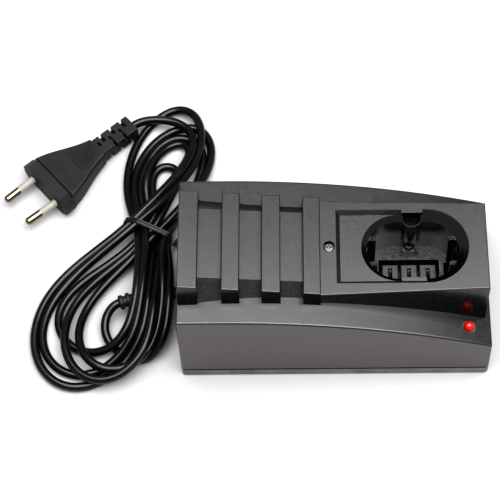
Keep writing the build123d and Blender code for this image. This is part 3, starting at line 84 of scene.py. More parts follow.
def add_node(tree: Tree, kind: str, inputs: dict | None = None, **settings) -> bpy.types.Node:
    """Add one shader node with its settings, values and links.

    Args:
        tree: The node tree that gets the node.
        kind: The node's type name, without ShaderNode.
        inputs: A value, or another node's output socket, for each input by name or number.
        **settings: Options of the node itself.

    Returns:
        The new node.
    """
    made = tree.nodes.new("ShaderNode" + kind)
    for name, value in settings.items():
        setattr(made, name, value)
    for key, value in (inputs or {}).items():
        if isinstance(value, Socket):
            tree.links.new(value, made.inputs[key])
        else:
            made.inputs[key].default_value = value
    return made


def axes(tree: Tree, vector: Socket) -> tuple[Socket, ...]:
    """Return the X, Y and Z of a vector."""
    return tuple(add_node(tree, "SeparateXYZ", {0: vector}).outputs)


def noise(tree: Tree, place: Socket, size_mm: float, detail: float = 2.0, roughness: float = 0.5) -> Socket:
    """Add a cloudy pattern.

    Args:
        tree: The node tree.
        place: Coordinates to draw it by.
        size_mm: Width of its patches.
        detail: How many finer layers it has.
        roughness: How strong each finer layer is.

    Returns:
        The pattern's value.
    """
    return add_node(tree, "TexNoise", {
        "Vector": place, "Scale": per_mm(size_mm), "Detail": detail, "Roughness": roughness}).outputs["Fac"]


def remap(tree: Tree, value: Socket, source: tuple, target: tuple = UNIT_RANGE) -> Socket:
    """Stretch a value from one range to another and keep it inside.

    Args:
        tree: The node tree.
        value: The value.
        source: The range it comes from.
        target: The range it goes to.

    Returns:
        The stretched value.
    """
    return add_node(tree, "MapRange", {
        "Value": value, "From Min": source[0], "From Max": source[1],
        "To Min": target[0], "To Max": target[1]}).outputs[0]


def calculate(tree: Tree, operation: str, *values: float | Socket, clamp: bool = False) -> Socket:
    """Work out one sum.

    Args:
        tree: The node tree.
        operation: The math node's operation.
        *values: Its numbers or sockets, in order.
        clamp: Whether the result is kept between 0 and 1.

    Returns:
        The result.
    """
    return add_node(tree, "Math", dict(enumerate(values)),
                    operation=operation, use_clamp=clamp).outputs[0]


def mix(tree: Tree, share: Socket, start: tuple | Socket, end: tuple | Socket) -> Socket:
    """Mix two colours.

    Args:
        tree: The node tree.
        share: 0 for the first colour, 1 for the second.
        start: The first colour.
        end: The second colour.

    Returns:
        The mixed colour.
    """
    # The mix node's colours are its inputs 6 and 7 and its output 2.
    return add_node(tree, "Mix", {0: share, 6: start, 7: end}, data_type="RGBA").outputs[2]


def relief(tree: Tree, height: Socket, strength: float | Socket, depth_mm: float) -> Socket:
    """Turn a pattern into fine relief.

    Args:
        tree: The node tree.
        height: The pattern.
        strength: How much of the relief shows.
        depth_mm: Its depth.

    Returns:
        The relief's normal.
    """
    return add_node(tree, "Bump", {
        "Height": height, "Strength": strength, "Distance": depth_mm * MM}).outputs[0]


def start_material(name: str) -> tuple[Material, Tree, Socket]:
    """Make an empty node material.

    Args:
        name: The material's name.

    Returns:
        The material, its cleared node tree and its object coordinates.
    """
    material = bpy.data.materials.new(name)
    material.use_nodes = True
    tree = material.node_tree
    tree.nodes.clear()
    return material, tree, add_node(tree, "TexCoord").outputs["Object"]


def close_material(tree: Tree, shader: dict) -> None:
    """Add the main shader with its inputs and link it to the material's output.

    Args:
        tree: The node tree.
        shader: Values and sockets for the main shader's inputs.
    """
    surface = add_node(tree, "BsdfPrincipled", shader)
    add_node(tree, "OutputMaterial", {"Surface": surface.outputs[0]})


def dress(material: Material, *nodes: str) -> None:
    """Give frame parts a finish.

    Args:
        material: The finish that each of their slots gets.
        *nodes: The parts' names.
    """
    for node in nodes:
        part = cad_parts[node]
        if not part.material_slots:
            part.data.materials.append(material)
        for place in part.material_slots:
            place.material = material
        LOG.info("%s: %s", node, material.name)


def mesh_piece(name: str, shape: tuple, material: Material) -> Piece:
    """Make a smooth mesh piece that rides on the housing.

    Args:
        name: The piece's name.
        shape: Its vertices, in metres, and its faces, as lists of vertex numbers.
        material: Its finish.

    Returns:
        The new object.
    """
    mesh = bpy.data.meshes.new(name)
    mesh.from_pydata([tuple(float(v) for v in p) for p in shape[0]], [], shape[1])
    mesh.validate()
    mesh.update()
    mesh.materials.append(material)
    mesh.polygons.foreach_set("use_smooth", [True] * len(mesh.polygons))
    piece = bpy.data.objects.new(name, mesh)
    bpy.context.scene.collection.objects.link(piece)
    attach(piece, HOUSING_BODY)
    LOG.info("%s: %d faces", name, len(mesh.polygons))
    return piece


def swept(path: np.ndarray, profile: np.ndarray, upright: Vector = UP, closed: bool = False) -> tuple:
    """Carry a flat profile along a path, its second axis kept as upright as it can be.

    Args:
        path: Points of the path, in metres.
        profile: Points of the profile, first across the path and then up.
        upright: The direction that the profile's second axis leans to.
        closed: Whether the path's end joins its start.

    Returns:
        The vertices and the faces.
    """
    if closed:
        along = np.roll(path, -1, axis=0) - np.roll(path, 1, axis=0)
    else:
        along = np.gradient(path, axis=0)
    along = along / np.linalg.norm(along, axis=1)[:, None]
    lean = np.array(upright, float)
    rise = lean[None] - (along @ lean)[:, None] * along
    rise = rise / np.linalg.norm(rise, axis=1)[:, None]
    across = np.cross(along, rise)
    rings = path[:, None] + across[:, None] * profile[None, :, :1] + rise[:, None] * profile[None, :, 1:]
    count, sides = len(path), len(profile)
    faces = []
    for i in range(count if closed else count - 1):
        here, there = i * sides, (i + 1) % count * sides
        for j in range(sides):
            k = (j + 1) % sides
            faces.append([here + j, here + k, there + k, there + j])
    if not closed:
        faces.append(list(range(sides))[::-1])
        faces.append([(count - 1) * sides + j for j in range(sides)])
    return rings.reshape(-1, 3), faces


def joined(shapes: list) -> tuple:
    """Put several vertex and face lists into one.

    Args:
        shapes: Pairs of vertices and faces.

    Returns:
        All vertices and all faces.
    """
    points, faces = [], []
    for some_points, some_faces in shapes:
        start = len(points)
        points.extend(map(tuple, some_points))
        faces.extend([[start + i for i in face] for face in some_faces])
    return points, faces


def oval(width: float, height: float, sides: int, squareness: float = 2.0) -> np.ndarray:
    """Place points round a closed outline between an ellipse and a rounded rectangle.

    Args:
        width: Full width.
        height: Full height.
        sides: Number of points.
        squareness: 2 for an ellipse, more for squarer corners.

    Returns:
        The points, as rows of two numbers.
    """
    turn = np.linspace(0, FULL_TURN, sides, endpoint=False)
    round_trip = np.stack([np.cos(turn), np.sin(turn)], 1)
    return np.sign(round_trip) * np.abs(round_trip) ** (2 / squareness) * np.array([width, height]) / 2


# ---- finishes

class Streak(Enum):
    """Direction that drawn or brushed streaks run in, as each axis's share of their scale."""

    ALONG_X = (0.04, 1.0, 1.0)
    ALONG_Z = (1.0, 1.0, 0.04)


class Stack(Enum):
    """Axis along which stacked sheets or turns follow one another."""

    ALONG_Y = "Y"
    ALONG_Z = "Z"


@dataclass(frozen=True)
class Plastic:
    """Moulded plastic or rubber: a fine grain from the mould, and faint cloudy patches."""

    name: str
    colour: str
    fleck: str
    grain_mm: float = 0.9
    grain_depth_mm: float = 0.05
    grain_strength: float = 0.6
    cloud_mm: float = 11.0
    fleck_range: Pair = (0.12, 0.4)
    roughness: float = 0.5
    roughness_spread: float = 0.12
    ior: float = 1.54
    gloss: float = 0.3
    # Painted shade blackens what lies above this height, for the shadow in the seam.
    seam_shade_above_mm: float | None = None
    seam_shade_colour: str = "#020202"

    def make(self) -> Material:
        """Build the finish."""
        material, tree, place = start_material(self.name)
        grain = noise(tree, place, self.grain_mm, detail=3.0, roughness=0.6)
        cloud = noise(tree, place, self.cloud_mm)
        flecks = remap(tree, calculate(tree, "MULTIPLY", grain, cloud), self.fleck_range)
        colour = mix(tree, flecks, linear(self.colour), linear(self.fleck))
        if self.seam_shade_above_mm is not None:
            # Painted shade: the seam's shadow, painted near black.
            in_seam_shade = calculate(tree, "GREATER_THAN", axes(tree, place)[2], self.seam_shade_above_mm * MM)
            colour = mix(tree, in_seam_shade, colour, linear(self.seam_shade_colour))
        half = self.roughness_spread / 2
        close_material(tree, {
            "Base Color": colour,
            "Roughness": remap(tree, cloud, NOISE_RANGE, (self.roughness - half, self.roughness + half)),
            "IOR": self.ior, "Specular IOR Level": self.gloss,
            "Normal": relief(tree, grain, self.grain_strength, self.grain_depth_mm)})
        return material


@dataclass(frozen=True)
class GrainedHousing:
    """ABS moulded against a spark-eroded tool: a sparkling grain, and a polish and painted shade in the
    pocket.

    The steep sides of the ridges and of the raised block have the pocket's polish and painted shade too.
    """

    name: str
    colour: str
    fleck: str
    # Painted shade: the darker colours of the pocket and the steep sides.
    painted_shade_colour: str
    painted_shade_fleck: str
    dust: str
    # Painted light: the lighter, browner colour of the outer walls, for the light they catch from the
    # floor.
    painted_light_wall_colour: str
    pocket_x_mm: float = 37.3
    pocket_straight_mm: float = 13.2
    mouth_radius_mm: float = 19.8
    plate_z_mm: float = 55.1
    panel_z_mm: float = 53.4
    # How far outside the mouth, and below the plate and the panel, each mask is cut.
    margins_mm: Triple = (0.1, 0.15, 0.3)
    half_size_mm: Pair = (74.65, 40.2)
    wall_share: float = 0.95
    # How far up a surface faces where it counts as steep, as flat, and as a ledge for dust.
    steep_below: float = 0.3
    flat_above: float = 0.95
    ledge_range: Pair = (0.85, 0.97)
    dust_below_mm: float = 36.0
    dust_share: float = 0.9
    # The tool's grain is about 0.3 mm, too fine to show, so it is drawn at about 0.8 mm.
    grain_mm: float = 0.8
    grain_depth_mm: float = 0.07
    grain_strengths: Pair = (0.7, 0.2)
    spark_range: Pair = (0.44, 0.66)
    cloud_mm: float = 16.0
    cloud_shares: Pair = (0.8, 1.1)
    roughnesses: Pair = (0.36, 0.22)
    glitter: float = 0.085
    ior: float = 1.54
    gloss: float = 0.8

    def make(self) -> Material:
        """Build the finish."""
        material, tree, place = start_material(self.name)
        grain = noise(tree, place, self.grain_mm, detail=4.0, roughness=0.7)
        cloud = noise(tree, place, self.cloud_mm, detail=3.0)
        spark = remap(tree, grain, self.spark_range)
        patches = remap(tree, cloud, NOISE_RANGE, self.cloud_shares)
        flecks = calculate(tree, "MULTIPLY", spark, patches, clamp=True)
        normal = add_node(tree, "NewGeometry").outputs["Normal"]
        upward = axes(tree, normal)[2]
        walls = self._outer_walls(tree, place, normal)
        steep = calculate(tree, "LESS_THAN", upward, self.steep_below)
        sides = calculate(tree, "SUBTRACT", steep, walls, clamp=True)
        # This mask carries both the polish and the painted shade of the pocket and the steep sides.
        polished = calculate(tree, "MAXIMUM", self._pocket(tree, place, upward), sides)
        outside = mix(tree, flecks, linear(self.colour), linear(self.fleck))
        # Painted light: the outer walls are made lighter and browner for the light they catch from the
        # floor.
        outside = mix(tree, walls, outside, linear(self.painted_light_wall_colour))
        # Painted shade: the pocket and the steep sides take a darker colour.
        inside = mix(tree, flecks, linear(self.painted_shade_colour), linear(self.painted_shade_fleck))
        inside = mix(tree, self._dust(tree, place, upward, flecks), inside, linear(self.dust))
        satin = remap(tree, polished, UNIT_RANGE, self.roughnesses)
        glitter = remap(tree, spark, UNIT_RANGE, (-self.glitter, self.glitter))
        strength = remap(tree, polished, UNIT_RANGE, self.grain_strengths)
        close_material(tree, {
            "Base Color": mix(tree, polished, outside, inside),
            "Roughness": calculate(tree, "ADD", satin, glitter),
            "IOR": self.ior, "Specular IOR Level": self.gloss,
            "Normal": relief(tree, grain, strength, self.grain_depth_mm)})
        return material

    def _outer_walls(self, tree: Tree, place: Socket, normal: Socket) -> Socket:
        """Find the four outer walls, which get a painted lighter, browner colour than the top for the light
        they catch from the floor.

        Args:
            tree: The node tree.
            place: Object coordinates.
            normal: The surface's direction.

        Returns:
            A value of 1 on the outer walls and 0 elsewhere.
        """
        per_half = (*(1 / (half * MM) for half in self.half_size_mm), 0.0)
        share = add_node(tree, "VectorMath", {0: place, 1: per_half}, operation="MULTIPLY")
        outward = add_node(tree, "VectorMath", {
            0: share.outputs[0], 1: normal}, operation="MULTIPLY")
        along_x, along_y, _ = axes(tree, outward.outputs[0])
        farthest = calculate(tree, "MAXIMUM", along_x, along_y)
        return calculate(tree, "GREATER_THAN", farthest, self.wall_share)

    def _pocket(self, tree: Tree, place: Socket, upward: Socket) -> Socket:
        """Find the surfaces of the pocket and its bevelled mouth, which get the polish and the painted
        shade.

        Args:
            tree: The node tree.
            place: Object coordinates.
            upward: How far the surface faces up.

        Returns:
            A value of 1 in the pocket and 0 elsewhere.
        """
        outside, below_plate, below_panel = self.margins_mm
        x, y, z = axes(tree, place)
        aside = calculate(tree, "ABSOLUTE", calculate(tree, "SUBTRACT", x, self.pocket_x_mm * MM))
        beyond = calculate(tree, "SUBTRACT", aside, self.pocket_straight_mm / 2 * MM, clamp=True)
        spot = add_node(tree, "CombineXYZ", {0: beyond, 1: y}).outputs[0]
        reach = add_node(tree, "VectorMath", {0: spot}, operation="LENGTH").outputs["Value"]
        near = calculate(tree, "LESS_THAN", reach, (self.mouth_radius_mm + outside) * MM)
        low = calculate(tree, "LESS_THAN", z, (self.plate_z_mm - below_plate) * MM)
        # The sunk panel's flat floor reaches the mouth too, and has the outer grain.
        flat = calculate(tree, "GREATER_THAN", upward, self.flat_above)
        high = calculate(tree, "GREATER_THAN", z, (self.panel_z_mm - below_panel) * MM)
        panel = calculate(tree, "MULTIPLY", flat, high)
        return calculate(tree, "SUBTRACT", calculate(tree, "MULTIPLY", near, low), panel, clamp=True)

    def _dust(self, tree: Tree, place: Socket, upward: Socket, flecks: Socket) -> Socket:
        """Let dust settle on what faces up deep in the pocket, which turns it grey-brown.

        Args:
            tree: The node tree.
            place: Object coordinates.
            upward: How far the surface faces up.
            flecks: The pattern that the dust keeps to.

        Returns:
            How much of the surface the dust covers.
        """
        settling = remap(tree, upward, self.ledge_range, (0.0, self.dust_share))
        deep = calculate(tree, "LESS_THAN", axes(tree, place)[2], self.dust_below_mm * MM)
        return calculate(tree, "MULTIPLY", calculate(tree, "MULTIPLY", settling, deep), flecks, clamp=True)


@dataclass(frozen=True)
class Metal:
    """Bare or plated metal with fine streaks from drawing, rolling or turning."""

    name: str
    colour: str
    tone: str
    roughness: float
    streak: Streak = Streak.ALONG_Z
    streak_mm: float = 0.5
    streak_strength: float = 0.25
    streak_depth_mm: float = 0.02
    roughness_swing: float = 0.3
    metallic: float = 1.0

    def make(self) -> Material:
        """Build the finish."""
        material, tree, place = start_material(self.name)
        stretched = add_node(tree, "VectorMath", {
            0: place, 1: self.streak.value}, operation="MULTIPLY")
        streaks = noise(tree, stretched.outputs[0], self.streak_mm, detail=3.0)
        low, high = (self.roughness * (1 + side * self.roughness_swing) for side in (-1, 1))
        close_material(tree, {
            "Base Color": mix(tree, streaks, linear(self.colour), linear(self.tone)),
            "Metallic": self.metallic, "Roughness": remap(tree, streaks, UNIT_RANGE, (low, high)),
            "Normal": relief(tree, streaks, self.streak_strength, self.streak_depth_mm)})
        return material


@dataclass(frozen=True)
class Layered:
    """Stacked sheets or wound wire: an even line pattern at their real spacing."""

    name: str
    colour: str
    gap_colour: str
    spacing_mm: float
    stack: Stack
    metallic: float
    roughness: float
    wear_mm: float = 3.0
    gap_strength: float = 0.5
    gap_share: float = 0.25

    def make(self) -> Material:
        """Build the finish."""
        material, tree, place = start_material(self.name)
        lines = add_node(tree, "TexWave", {
            "Vector": place, "Scale": per_mm(self.spacing_mm) * WAVE_REPEAT, "Distortion": 0.0},
            bands_direction=self.stack.value).outputs["Fac"]
        share = calculate(tree, "MULTIPLY", lines, noise(tree, place, self.wear_mm))
        close_material(tree, {
            "Base Color": mix(tree, share, linear(self.gap_colour), linear(self.colour)),
            "Metallic": self.metallic, "Roughness": self.roughness,
            "Normal": relief(tree, lines, self.gap_strength, self.spacing_mm * self.gap_share)})
        return material


@dataclass(frozen=True)
class SolderMaskedBoard:
    """Glass-epoxy board under green solder mask, which shows its copper tracks as lighter lines."""

    name: str = "solder masked board"
    mask: str = "#0c2015"
    track: str = "#17361f"
    cell_mm: float = 6.4
    edge_range: Pair = (0.1, 0.16)
    track_strength: float = 0.3
    track_depth_mm: float = 0.03
    roughness: float = 0.32
    ior: float = 1.55

    def make(self) -> Material:
        """Build the finish."""
        material, tree, place = start_material(self.name)
        tracks = add_node(tree, "TexVoronoi", {
            "Vector": place, "Scale": per_mm(self.cell_mm)}, distance="CHEBYCHEV",
            feature="DISTANCE_TO_EDGE")
        line = remap(tree, tracks.outputs["Distance"], self.edge_range)
        close_material(tree, {
            "Base Color": mix(tree, line, linear(self.track), linear(self.mask)),
            "Roughness": self.roughness, "IOR": self.ior,
            "Normal": relief(tree, line, self.track_strength, self.track_depth_mm)})
        return material


@dataclass(frozen=True)
class BandedPaint:
    """Painted ceramic body with the usual coloured value bands round it."""

    name: str
    body: str
    bands: tuple[str, ...]
    middle_x_mm: float
    pitch_mm: float = 1.1
    band_mm: float = 0.5
    blotch_mm: float = 1.5
    roughnesses: Pair = (0.3, 0.5)
    ior: float = 1.5

    def make(self) -> Material:
        """Build the finish."""
        material, tree, place = start_material(self.name)
        along = axes(tree, place)[0]
        colour = linear(self.body)
        for i, band in enumerate(self.bands):
            x_mm = self.middle_x_mm + (i - (len(self.bands) - 1) / 2) * self.pitch_mm
            inside = calculate(tree, "COMPARE", along, x_mm * MM, self.band_mm / 2 * MM)
            colour = mix(tree, inside, colour, linear(band))
        blotches = noise(tree, place, self.blotch_mm)
        close_material(tree, {
            "Base Color": colour, "Roughness": remap(tree, blotches, UNIT_RANGE, self.roughnesses),
            "IOR": self.ior})
        return material


@dataclass(frozen=True)
class TintedLens:
    """Clear epoxy or glass: a tinted body with a polished skin, which may have a painted glow from within.
    """

    name: str
    colour: str
    deep: str
    transmission: float
    # Painted glow: an emission that brightens the colour.
    glow: float
    ior: float
    swirl_mm: float = 2.5
    roughness: float = 0.2
    coat: float = 0.4
    coat_roughness: float = 0.08

    def make(self) -> Material:
        """Build the finish."""
        material, tree, place = start_material(self.name)
        swirl = noise(tree, place, self.swirl_mm)
        close_material(tree, {
            "Base Color": mix(tree, swirl, linear(self.colour), linear(self.deep)),
            "Roughness": self.roughness, "IOR": self.ior, "Transmission Weight": self.transmission,
            "Coat Weight": self.coat, "Coat Roughness": self.coat_roughness,
            "Emission Color": linear(self.colour), "Emission Strength": self.glow})
        return material


# ---- studio

@dataclass
class Studio:
    """The camera, a pale floor and one soft light."""

    azimuth: float = 3.5
    elevation: float = 61.009
    roll: float = -3.669
    distance_mm: float = 903.1
    target_mm: Triple = (-40.78, 13.58, 27.9)
    focal_length_mm: float = 132.59
    sensor_mm: float = 36.0
    clip_m: Pair = (0.05, 20.0)
    floor_half_m: float = 3.0
    floor_cloud_mm: float = 1000 / 3
    light_spot_m: Triple = (0.12, -0.11, 0.98)
    light_size_m: Pair = (1.25, 1.02)
    light_w: float = 25.0
    sky: str = "#ffffff"
    sky_strength: float = 0.32

    def build(self) -> None:
        """Make the camera, the floor, the light and the sky."""
        self._camera()
        self._floor()
        self._light()
        world = bpy.data.worlds.new("studio")
        world.use_nodes = True
        background = world.node_tree.nodes["Background"]
        background.inputs[0].default_value = linear(self.sky)
        background.inputs[1].default_value = self.sky_strength
        scene = bpy.context.scene
        scene.world = world
        scene.view_settings.view_transform = "Standard"
        scene.view_settings.look = "High Contrast"
        LOG.info("studio: camera, floor and light")

    def _camera(self) -> None:
        """Place the camera from its two angles, its roll and its distance."""
        a, e, r = (math.radians(v) for v in (self.azimuth, self.elevation, self.roll))
        back = Vector((math.sin(a) * math.cos(e), -math.cos(a) * math.cos(e), math.sin(e)))
        right = Vector((math.cos(a), math.sin(a), 0))
        up = back.cross(right)
        across = right * math.cos(r) + up * math.sin(r)
        upright = up * math.cos(r) - right * math.sin(r)
        camera = bpy.data.objects.new("camera", bpy.data.cameras.new("camera"))
        bpy.context.scene.collection.objects.link(camera)
        camera.data.sensor_width = self.sensor_mm
        camera.data.lens = self.focal_length_mm
        camera.data.clip_start, camera.data.clip_end = self.clip_m
        turn = Matrix((across, upright, back)).transposed().to_4x4()
        spot = Vector(self.target_mm) * MM + back * self.distance_mm * MM
        camera.matrix_world = Matrix.Translation(spot) @ turn
        bpy.context.scene.camera = camera

    def _floor(self) -> None:
        """Lay a large pale floor."""
        material, tree, place = start_material("pale floor")
        cloud = noise(tree, place, self.floor_cloud_mm)
        close_material(tree, {
            "Base Color": mix(tree, cloud, linear("#a8a8a8"), linear("#acacac")), "Roughness": 0.9})
        h = self.floor_half_m
        mesh = bpy.data.meshes.new("floor")
        mesh.from_pydata([(-h, -h, 0), (h, -h, 0), (h, h, 0), (-h, h, 0)], [], [[0, 1, 2, 3]])
        mesh.materials.append(material)
        floor = bpy.data.objects.new("floor", mesh)
        bpy.context.scene.collection.objects.link(floor)

    def _light(self) -> None:
        """Hang one soft rectangular light, which faces straight down unless it is turned."""
        data = bpy.data.lights.new("overhead", "AREA")
        data.shape = "RECTANGLE"
        data.size, data.size_y = self.light_size_m
        data.energy = self.light_w
        light = bpy.data.objects.new("overhead", data)
        bpy.context.scene.collection.objects.link(light)
        light.location = self.light_spot_m


# ---- mains lead

# Control points of the lead from the relief boot, through the hank, to the plug, in millimetres.
LEAD_POINTS_MM = (
    (-106, -5.4, 9.3), (-108.6, -6.4, 9.3), (-112.4, -11, 7), (-113.4, -17, 4.8), (-111.7, -22.8, 3.1),
    (-107.6, -27.7, 2.4), (-102.7, -31.5, 2.4), (-97.4, -33.6, 2.4), (-92, -33.4, 3.4), (-87.1, -30.5, 6.4),
    (-83.4, -25, 10.9), (-81.3, -16.7, 15.3), (-80.6, -5.7, 17.2), (-81, 7.3, 15.1), (-82.4, 21.1, 9.6),
    (-84.7, 34.6, 4.5), (-88.2, 46.8, 2.4), (-91.1, 56.5, 2.4), (-92.5, 64.3, 2.4), (-92.2, 71, 2.4),
    (-89.7, 76, 2.4), (-85.3, 77.9, 2.4), (-80.8, 76.3, 2.4), (-78.7, 71.5, 2.4), (-80.1, 64.3, 3.5),
    (-83.1, 55.9, 5.7), (-86.3, 46.8, 7.7), (-90.9, 36.7, 7.9), (-99.2, 26.5, 6.5), (-109.7, 17.3, 5),
    (-119.6, 8.6, 4.4), (-127.2, -0.9, 4.9), (-131.7, -11.6, 6), (-133, -23.2, 7), (-130.8, -33.9, 7.3),
    (-125.3, -42.1, 7.3), (-117.7, -46.5, 7.5), (-109.1, -46.6, 8.5), (-101, -43, 10.4),
    (-94.5, -36.3, 12.9), (-90.3, -27.7, 15.6), (-88.4, -17.7, 17.6), (-87.7, -5.8, 17.5),
    (-87.2, 7.9, 14.1), (-86.9, 22.6, 8.5), (-88.4, 36.1, 3.7), (-92, 47.7, 2.4), (-94.9, 57.5, 3.7),
    (-95.6, 66.4, 5.3), (-94, 74.8, 5.2), (-90.4, 82.6, 4), (-85.5, 88.7, 2.7), (-80.1, 91.5, 2.4),
    (-75.2, 90, 2.9), (-73, 85.1, 4.3), (-75.3, 77.4, 6.1), (-80.3, 68.4, 7.6), (-85.4, 58.9, 8.3),
    (-89.3, 48.9, 8), (-93.7, 38.2, 6.4), (-102, 28.3, 4.3), (-113, 19.7, 2.9), (-123.7, 11.8, 2.4),
    (-131.8, 3.6, 2.4), (-136.4, -5.2, 2.4), (-136.9, -14, 2.4), (-133.6, -21.8, 2.4), (-127.4, -27.4, 2.4),
    (-119.8, -30, 3.2), (-112.3, -29.5, 5.3), (-105.8, -26.1, 8.5), (-101, -19.8, 12.1),
    (-98.1, -10.8, 15.1), (-96.8, 0.8, 16.4), (-96.5, 13.9, 15.3), (-97.2, 27.2, 12.1), (-99.1, 39.1, 7.7),
    (-102.2, 49.1, 4.1), (-104.7, 58.8, 2.5), (-105.6, 69.2, 2.4), (-104.5, 80.4, 2.4), (-101.3, 91.3, 2.4),
    (-96.3, 100.7, 2.4), (-90.1, 107.6, 2.5), (-83.3, 111.4, 3.5), (-76.6, 111.2, 4.9), (-70.8, 106.6, 6.3),
    (-67.4, 98.3, 7.2), (-67.1, 87.9, 7.3), (-70, 77.2, 7.4), (-75.1, 67.3, 8.5), (-81.2, 57.9, 10.7),
    (-87.7, 48.8, 13.1), (-95.6, 39.9, 14.1), (-105.5, 31.4, 12.1), (-116.2, 23.6, 8.5), (-126, 15.9, 5.2),
    (-134.1, 7.7, 3.1), (-140.2, -1.4, 2.4), (-143.8, -11.4, 2.4), (-144.5, -21.7, 2.4),
    (-141.6, -31.2, 2.5), (-135.5, -38.2, 2.4), (-127.6, -41.6, 2.4), (-119.1, -41.2, 2.6),
    (-110.9, -37.6, 4.1), (-103.7, -31.7, 7.2), (-98.5, -24.1, 11.6), (-95.4, -14.5, 15.8),
    (-93.9, -2.7, 18.2), (-93.2, 10.9, 17.6), (-93.6, 25.1, 14.4), (-95.6, 38.1, 9.8), (-98.8, 49, 6.2),
    (-101.4, 59, 4.2), (-101.7, 68.9, 3.2), (-99.6, 78.6, 2.7), (-95.5, 87.3, 2.4), (-89.8, 94.3, 2.4),
    (-83, 99.1, 2.4), (-76, 101.5, 2.4), (-69.4, 100.8, 2.4), (-64.4, 96.2, 2.4), (-61.9, 88.3, 2.5),
    (-62.5, 78.2, 3.3), (-66, 67.5, 5), (-71.6, 56.9, 7.3), (-78.8, 46.4, 9.3), (-87.1, 35.4, 9.6),
    (-96.6, 24.6, 8.1), (-106.5, 14.9, 5.8), (-115.1, 5.9, 4.2), (-121.5, -3.4, 4), (-125.3, -13.6, 5),
    (-125.8, -23.8, 6.7), (-122.7, -32.9, 8), (-116.5, -39.2, 8.5), (-108.5, -41.5, 8.2),
    (-100.5, -39.5, 7.6), (-93.7, -34.6, 8), (-88.6, -27.7, 10), (-85.5, -18.8, 13), (-84.1, -7.3, 15.7),
    (-84.2, 5.7, 16.8), (-85, 18.2, 15.6), (-84.8, 28, 12.5), (-82.7, 35.2, 8.5), (-79.6, 42.4, 4.9),
    (-76.1, 50.8, 3), (-72.2, 60.1, 2.4), (-68.4, 69.4, 2.4), (-66.2, 78.3, 2.4), (-66.6, 85.9, 2.4),
    (-69.9, 91.6, 2.4), (-75.3, 94.7, 2.4), (-81.6, 94.8, 2.4), (-87.7, 91.5, 2.4), (-92.9, 85.1, 2.4),
    (-96.5, 76.4, 2.4), (-98.4, 66.6, 2.4), (-98, 56.6, 2.4), (-95.6, 47.1, 2.4), (-92.4, 37.8, 2.4),
    (-90.7, 28.1, 4.8), (-90.6, 16.8, 10.3), (-90.8, 4.1, 15.4), (-91, -8.5, 16.9), (-92.6, -19.4, 14.4),
    (-96.3, -28.4, 9.8), (-102.1, -36, 5.3), (-109.8, -42.4, 2.7), (-118.7, -47.1, 2.4),
    (-128.5, -48.3, 2.5), (-137.9, -44.6, 2.7), (-145.1, -36, 2.6), (-148.5, -24.1, 2.5),
    (-147.7, -11.3, 2.4), (-143.6, 0.5, 2.4), (-136.9, 10.7, 2.6), (-128.4, 19.3, 3.7), (-118.5, 26.7, 6.1),
    (-108.2, 33.8, 9.3), (-99.6, 40.8, 12.2), (-93.1, 47.9, 13.5), (-87.3, 55.2, 13.2), (-81.2, 63.5, 12.1),
    (-75.6, 72.5, 10.7), (-71.8, 81.7, 9.3), (-70.9, 90.2, 8.2), (-74.1, 97.5, 7.7), (-81.5, 102.4, 7.4),
    (-91.6, 104, 7.1), (-100.5, 102.6, 6.8), (-103.6, 99.8, 6.8),
)


@dataclass
class MainsLead:
    """The oval two-core lead, folded in a hank."""

    width_mm: float = 4.3
    height_mm: float = 4.7
    sides: int = 24
    length_m: float = 1.93
    curve_order: int = 3
    steps_per_point: int = 8
    least_step_m: float = 1e-7

    def route(self) -> np.ndarray:
        """Read fine points from the smooth curve through the lead's control points."""
        curve = bpy.data.curves.new("lead_route", "CURVE")
        curve.dimensions = "3D"
        line = curve.splines.new("NURBS")
        line.points.add(len(LEAD_POINTS_MM) - 1)
        for point, spot in zip(line.points, LEAD_POINTS_MM):
            point.co = (*(v * MM for v in spot), 1.0)
        line.order_u = self.curve_order
        line.use_endpoint_u = True
        curve.resolution_u = self.steps_per_point
        holder = bpy.data.objects.new("lead_route", curve)
        bpy.context.scene.collection.objects.link(holder)
        bpy.context.view_layer.update()
        mesh = bpy.data.meshes.new_from_object(holder)
        points = np.array([v.co for v in mesh.vertices])
        bpy.data.objects.remove(holder)
        bpy.data.meshes.remove(mesh)
        steps = np.linalg.norm(np.diff(points, axis=0), axis=1)
        return points[np.concatenate([[True], steps > self.least_step_m])]

    def build(self, finish: Material) -> tuple[Piece, np.ndarray]:
        """Make the lead.

        Args:
            finish: The lead's finish.

        Returns:
            The lead and the points it follows.
        """
        path = self.route()
        shape = swept(path, oval(self.width_mm * MM, self.height_mm * MM, self.sides))
        lead = mesh_piece("mains_lead", shape, finish)
        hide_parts("cord_lead_boot_side", "cord_hank", "cord_lead_plug_side")
        return lead, path


